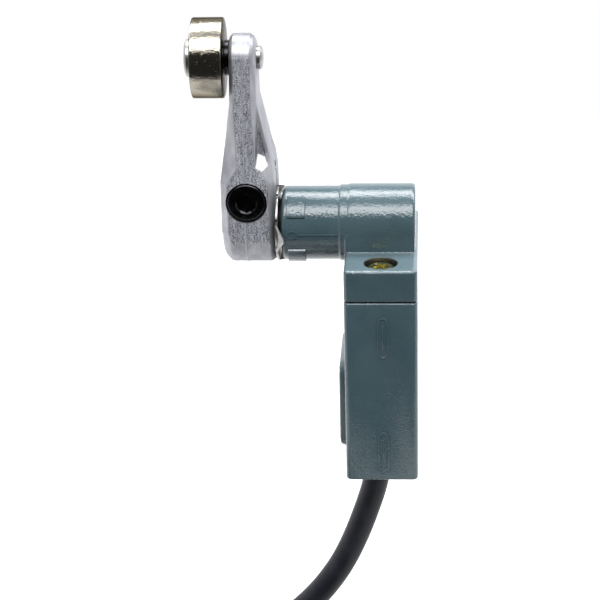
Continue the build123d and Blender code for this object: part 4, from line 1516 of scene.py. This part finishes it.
        def loop(grow: float, corner: float) -> list[Pair]:
            """The strap's outline round the coil's section, as (distance, Z) points.

            Args:
                grow: How far it lies outside the coil's section.
                corner: The radius of its corners.

            Returns:
                The outline.
            """
            left, right, under, over = low - grow, high + grow, floor - grow, top + grow
            spots = [(right - corner, over - corner, 0), (left + corner + 6.0, over - corner, 90),
                     (left + corner, over - 6.0 - corner, 90), (left + corner, under + corner, 180),
                     (right - corner, under + corner, 270)]
            widths = [90, 30, 90, 90, 90]
            return [point for (a, b, start), width in zip(spots, widths)
                    for point in arc((a, b), corner, start, start + width, 6)]

        outer = prism(loop(wall, 2.3), Along.Y, -half, half)
        strap = combined(outer, (How.CUT, prism(loop(0.0, 1.8), Along.Y, -half - 1, half + 1)))
        lock = slab((high + wall - 0.2, high + wall + 3.0), (-2.6, 2.6), (-79.6, -74.8))
        tail = slab((high + wall + 0.9, high + wall + 1.5), (-half, half), (-74.9, -72.9))
        shapes = [rounded(strap, 0.12, 2, 50), rounded(lock, 0.4, 3), rounded(tail, 0.1, 2)]
        place = Matrix.Translation((*self.coil_centre, 0)) @ Matrix.Rotation(math.radians(angle), 4, "Z")
        return moved(joined(*shapes), place)


# ---- Parts inside ---------------------------------------------------------------------------------
@dataclass
class InnerWorks:
    """The CAD pieces that keep their shape and get a finish here."""

    finishes: dict[str, Finish] = field(default_factory=lambda: {
        "head_gasket": RUBBER,
        "head_screw_washers": YELLOW_ZINC,
        "cam": DULL_PLATE,
        "cam_pin": BRIGHT,
        "shaft_clip": DULL_PLATE,
        "nose_bush": BRONZE,
        "plunger": BRIGHT,
        "guide_plate": WHITE_PLASTIC,
        "plunger_seal": RUBBER,
        "switch_case": BROWN_PLASTIC,
        "switch_cover": BROWN_PLASTIC,
        "switch_button": WHITE_PLASTIC,
        "contact_bridge": BRONZE,
        "bridge_contacts": SILVER,
        "closed_contacts": BRONZE,
        "open_contacts": BRONZE,
        "inner_leads": LEAD_FINISHES["lead_white"],
        "potting": RESIN,
        "cable_held_end": JACKET,
    })

    def dress(self) -> None:
        """Gives each node its finish."""
        for name, finish in self.finishes.items():
            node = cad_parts[name]
            node.data.materials.clear()
            node.data.materials.append(finish.material())
            LOG.info("%s: dressed in %s", name, finish.slot)


@dataclass(frozen=True)
class Spring:
    """A coil spring between two heights."""

    name: str
    node: str
    radius: float
    wire: float
    turns: float
    z: Pair
    pressed: float

    def build(self) -> None:
        """Builds the coil and gives it a mesh of its own."""
        coil = bmesh.new()
        start = Matrix.Translation((MID_X + self.radius, 0, self.z[0] + self.wire))
        bmesh.ops.create_circle(coil, segments=10, radius=self.wire,
                                matrix=start @ Matrix.Rotation(math.pi / 2, 4, "X"))
        steps = round(self.turns * 32)
        rise = (self.z[1] - self.z[0] - 2 * self.wire) / steps
        bmesh.ops.spin(coil, geom=coil.verts[:] + coil.edges[:], cent=(MID_X, 0, 0), axis=(0, 0, 1),
                       dvec=(0, 0, rise), angle=math.tau * self.turns, steps=steps)
        bmesh.ops.holes_fill(coil, edges=[edge for edge in coil.edges if edge.is_boundary], sides=0)
        bmesh.ops.recalc_face_normals(coil, faces=coil.faces[:])
        spring = piece(self.name, coil, BRIGHT, "casing", self.node)
        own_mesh(spring)


# ---- Studio ---------------------------------------------------------------------------------------
@dataclass(frozen=True)
class Panel:
    """A soft light: its angle up from the front and over the top, distance, size and power."""

    name: str
    elevation: float
    distance: float
    size: Pair
    power: float


@dataclass
class Studio:
    """Camera, lights, pale floor and surroundings."""

    camera_place: Point = (0.0032, -0.4429, 0.1842)
    camera_pitch: float = 22.33
    camera_yaw: float = 3.575
    lens: float = 127.26
    floor_colour: Colour = (0.50, 0.50, 0.50)
    floor_x: Pair = (-1.6, 1.6)
    floor_y: Pair = (-0.125, 0.42)
    sensor: float = 36.0
    clip: Pair = (0.01, 50.0)
    back_wall: Pair = (0.2, 0.6)
    back_glow: float = 1.3
    side_walls: Pair = (0.7, 0.9)
    side_glow: float = 0.7
    walls_end: Pair = (0.5, 0.7)
    ceiling: Pair = (0.62, 0.80)
    ceiling_glow: float = 0.75
    least_glow: float = 0.04
    coolness: float = 1.03
    aim: Point = (-0.02, 0.0, 0.02)
    panels: tuple[Panel, ...] = (
        Panel("front_strip", 57.0, 1.0, (1.5, 0.44), 20.0),
        Panel("back_strip", 113.5, 1.0, (2.4, 0.38), 34.0),
    )

    def build(self) -> None:
        """Builds everything that isn't the object."""
        self._camera()
        self._floor()
        self._surroundings()
        for panel in self.panels:
            self._light(panel)
        bpy.context.scene.view_settings.view_transform = "Standard"

    def _camera(self) -> None:
        """The camera."""
        data = bpy.data.cameras.new("camera")
        data.lens, data.sensor_width = self.lens, self.sensor
        data.clip_start, data.clip_end = self.clip
        camera = bpy.data.objects.new("camera", data)
        tilt = Matrix.Rotation(math.radians(90 - self.camera_pitch), 4, "X")
        yaw = Matrix.Rotation(math.radians(self.camera_yaw), 4, "Y")
        camera.matrix_world = Matrix.Translation(self.camera_place) @ tilt @ yaw
        bpy.context.scene.collection.objects.link(camera)
        bpy.context.scene.camera = camera

    def _floor(self) -> None:
        """The pale floor, from a little in front of the object to some way behind it."""
        shape = bmesh.new()
        bmesh.ops.create_grid(shape, x_segments=1, y_segments=1, size=0.5)
        size = (self.floor_x[1] - self.floor_x[0], self.floor_y[1] - self.floor_y[0], 1)
        bmesh.ops.scale(shape, vec=size, verts=shape.verts)
        middle = (sum(self.floor_x) / 2, sum(self.floor_y) / 2, FLOOR_Z * MM)
        bmesh.ops.translate(shape, vec=middle, verts=shape.verts)
        mesh = bpy.data.meshes.new("floor")
        shape.to_mesh(mesh)
        shape.free()
        material = bpy.data.materials.new("floor")
        material.use_nodes = True
        shader = material.node_tree.nodes["Principled BSDF"]
        shader.inputs["Base Color"].default_value = (*self.floor_colour, 1.0)
        shader.inputs["Roughness"].default_value = 0.9
        shader.inputs["Specular IOR Level"].default_value = 0.0
        mesh.materials.append(material)
        floor = bpy.data.objects.new("floor", mesh)
        bpy.context.scene.collection.objects.link(floor)

    def _surroundings(self) -> None:
        """A dim room with a bright wall behind and paler sides; the camera itself sees a pale wall."""
        world = bpy.data.worlds.new("studio")
        world.use_nodes = True
        bpy.context.scene.world = world
        sheet = Sheet(world.node_tree)
        way = sheet.node("ShaderNodeTexCoord", output="Generated")
        behind = sheet.part_of(way, "Y").eased(*self.back_wall)
        aside = sheet.part_of(way, "X").size().eased(*self.side_walls)
        low = 1 - sheet.part_of(way, "Z").size().eased(*self.walls_end)
        above = sheet.part_of(way, "Z").eased(*self.ceiling) * self.ceiling_glow
        glow = (behind * self.back_glow + aside * self.side_glow) * low + above + self.least_glow
        seen = sheet.node("ShaderNodeLightPath", output="Is Camera Ray")
        room = sheet.node("ShaderNodeCombineXYZ", inputs={0: glow, 1: glow, 2: glow * self.coolness})
        back = world.node_tree.nodes["Background"]
        colour = sheet.mixed(seen, room, (1.0, 1.0, 1.0))
        world.node_tree.links.new(colour.socket, back.inputs["Color"])

    def _light(self, panel: Panel) -> None:
        """One soft light, aimed at the switch.

        Args:
            panel: Its place, size and power.
        """
        data = bpy.data.lights.new(panel.name, "AREA")
        data.shape, data.size, data.size_y, data.energy = "RECTANGLE", *panel.size, panel.power
        lamp = bpy.data.objects.new(panel.name, data)
        up = math.radians(panel.elevation)
        out = Vector((0.0, -math.cos(up), math.sin(up)))
        turn = Matrix.Rotation(math.pi / 2 - up, 4, "X")
        lamp.matrix_world = Matrix.Translation(Vector(self.aim) + out * panel.distance) @ turn
        lamp.visible_camera = False
        bpy.context.scene.collection.objects.link(lamp)


def main() -> None:
    """Builds the studio and every sub-assembly in order."""
    logging.basicConfig(level=logging.INFO, format="%(name)s %(message)s")
    Studio().build()
    Cable().build()
    Casing().build()
    RotaryHead().build()
    Lever().build()
    RollerSet().build()
    InnerWorks().dress()
    Spring("return_spring", "plunger_spring", radius=3.1, wire=0.25, turns=3.5, z=(9.5, 13.4),
           pressed=1.52).build()
    Spring("contact_spring", "bridge_spring", radius=1.3, wire=0.2, turns=6, z=(-14.8, -5.25),
           pressed=1.02).build()


if __name__ == "__main__":
    main()
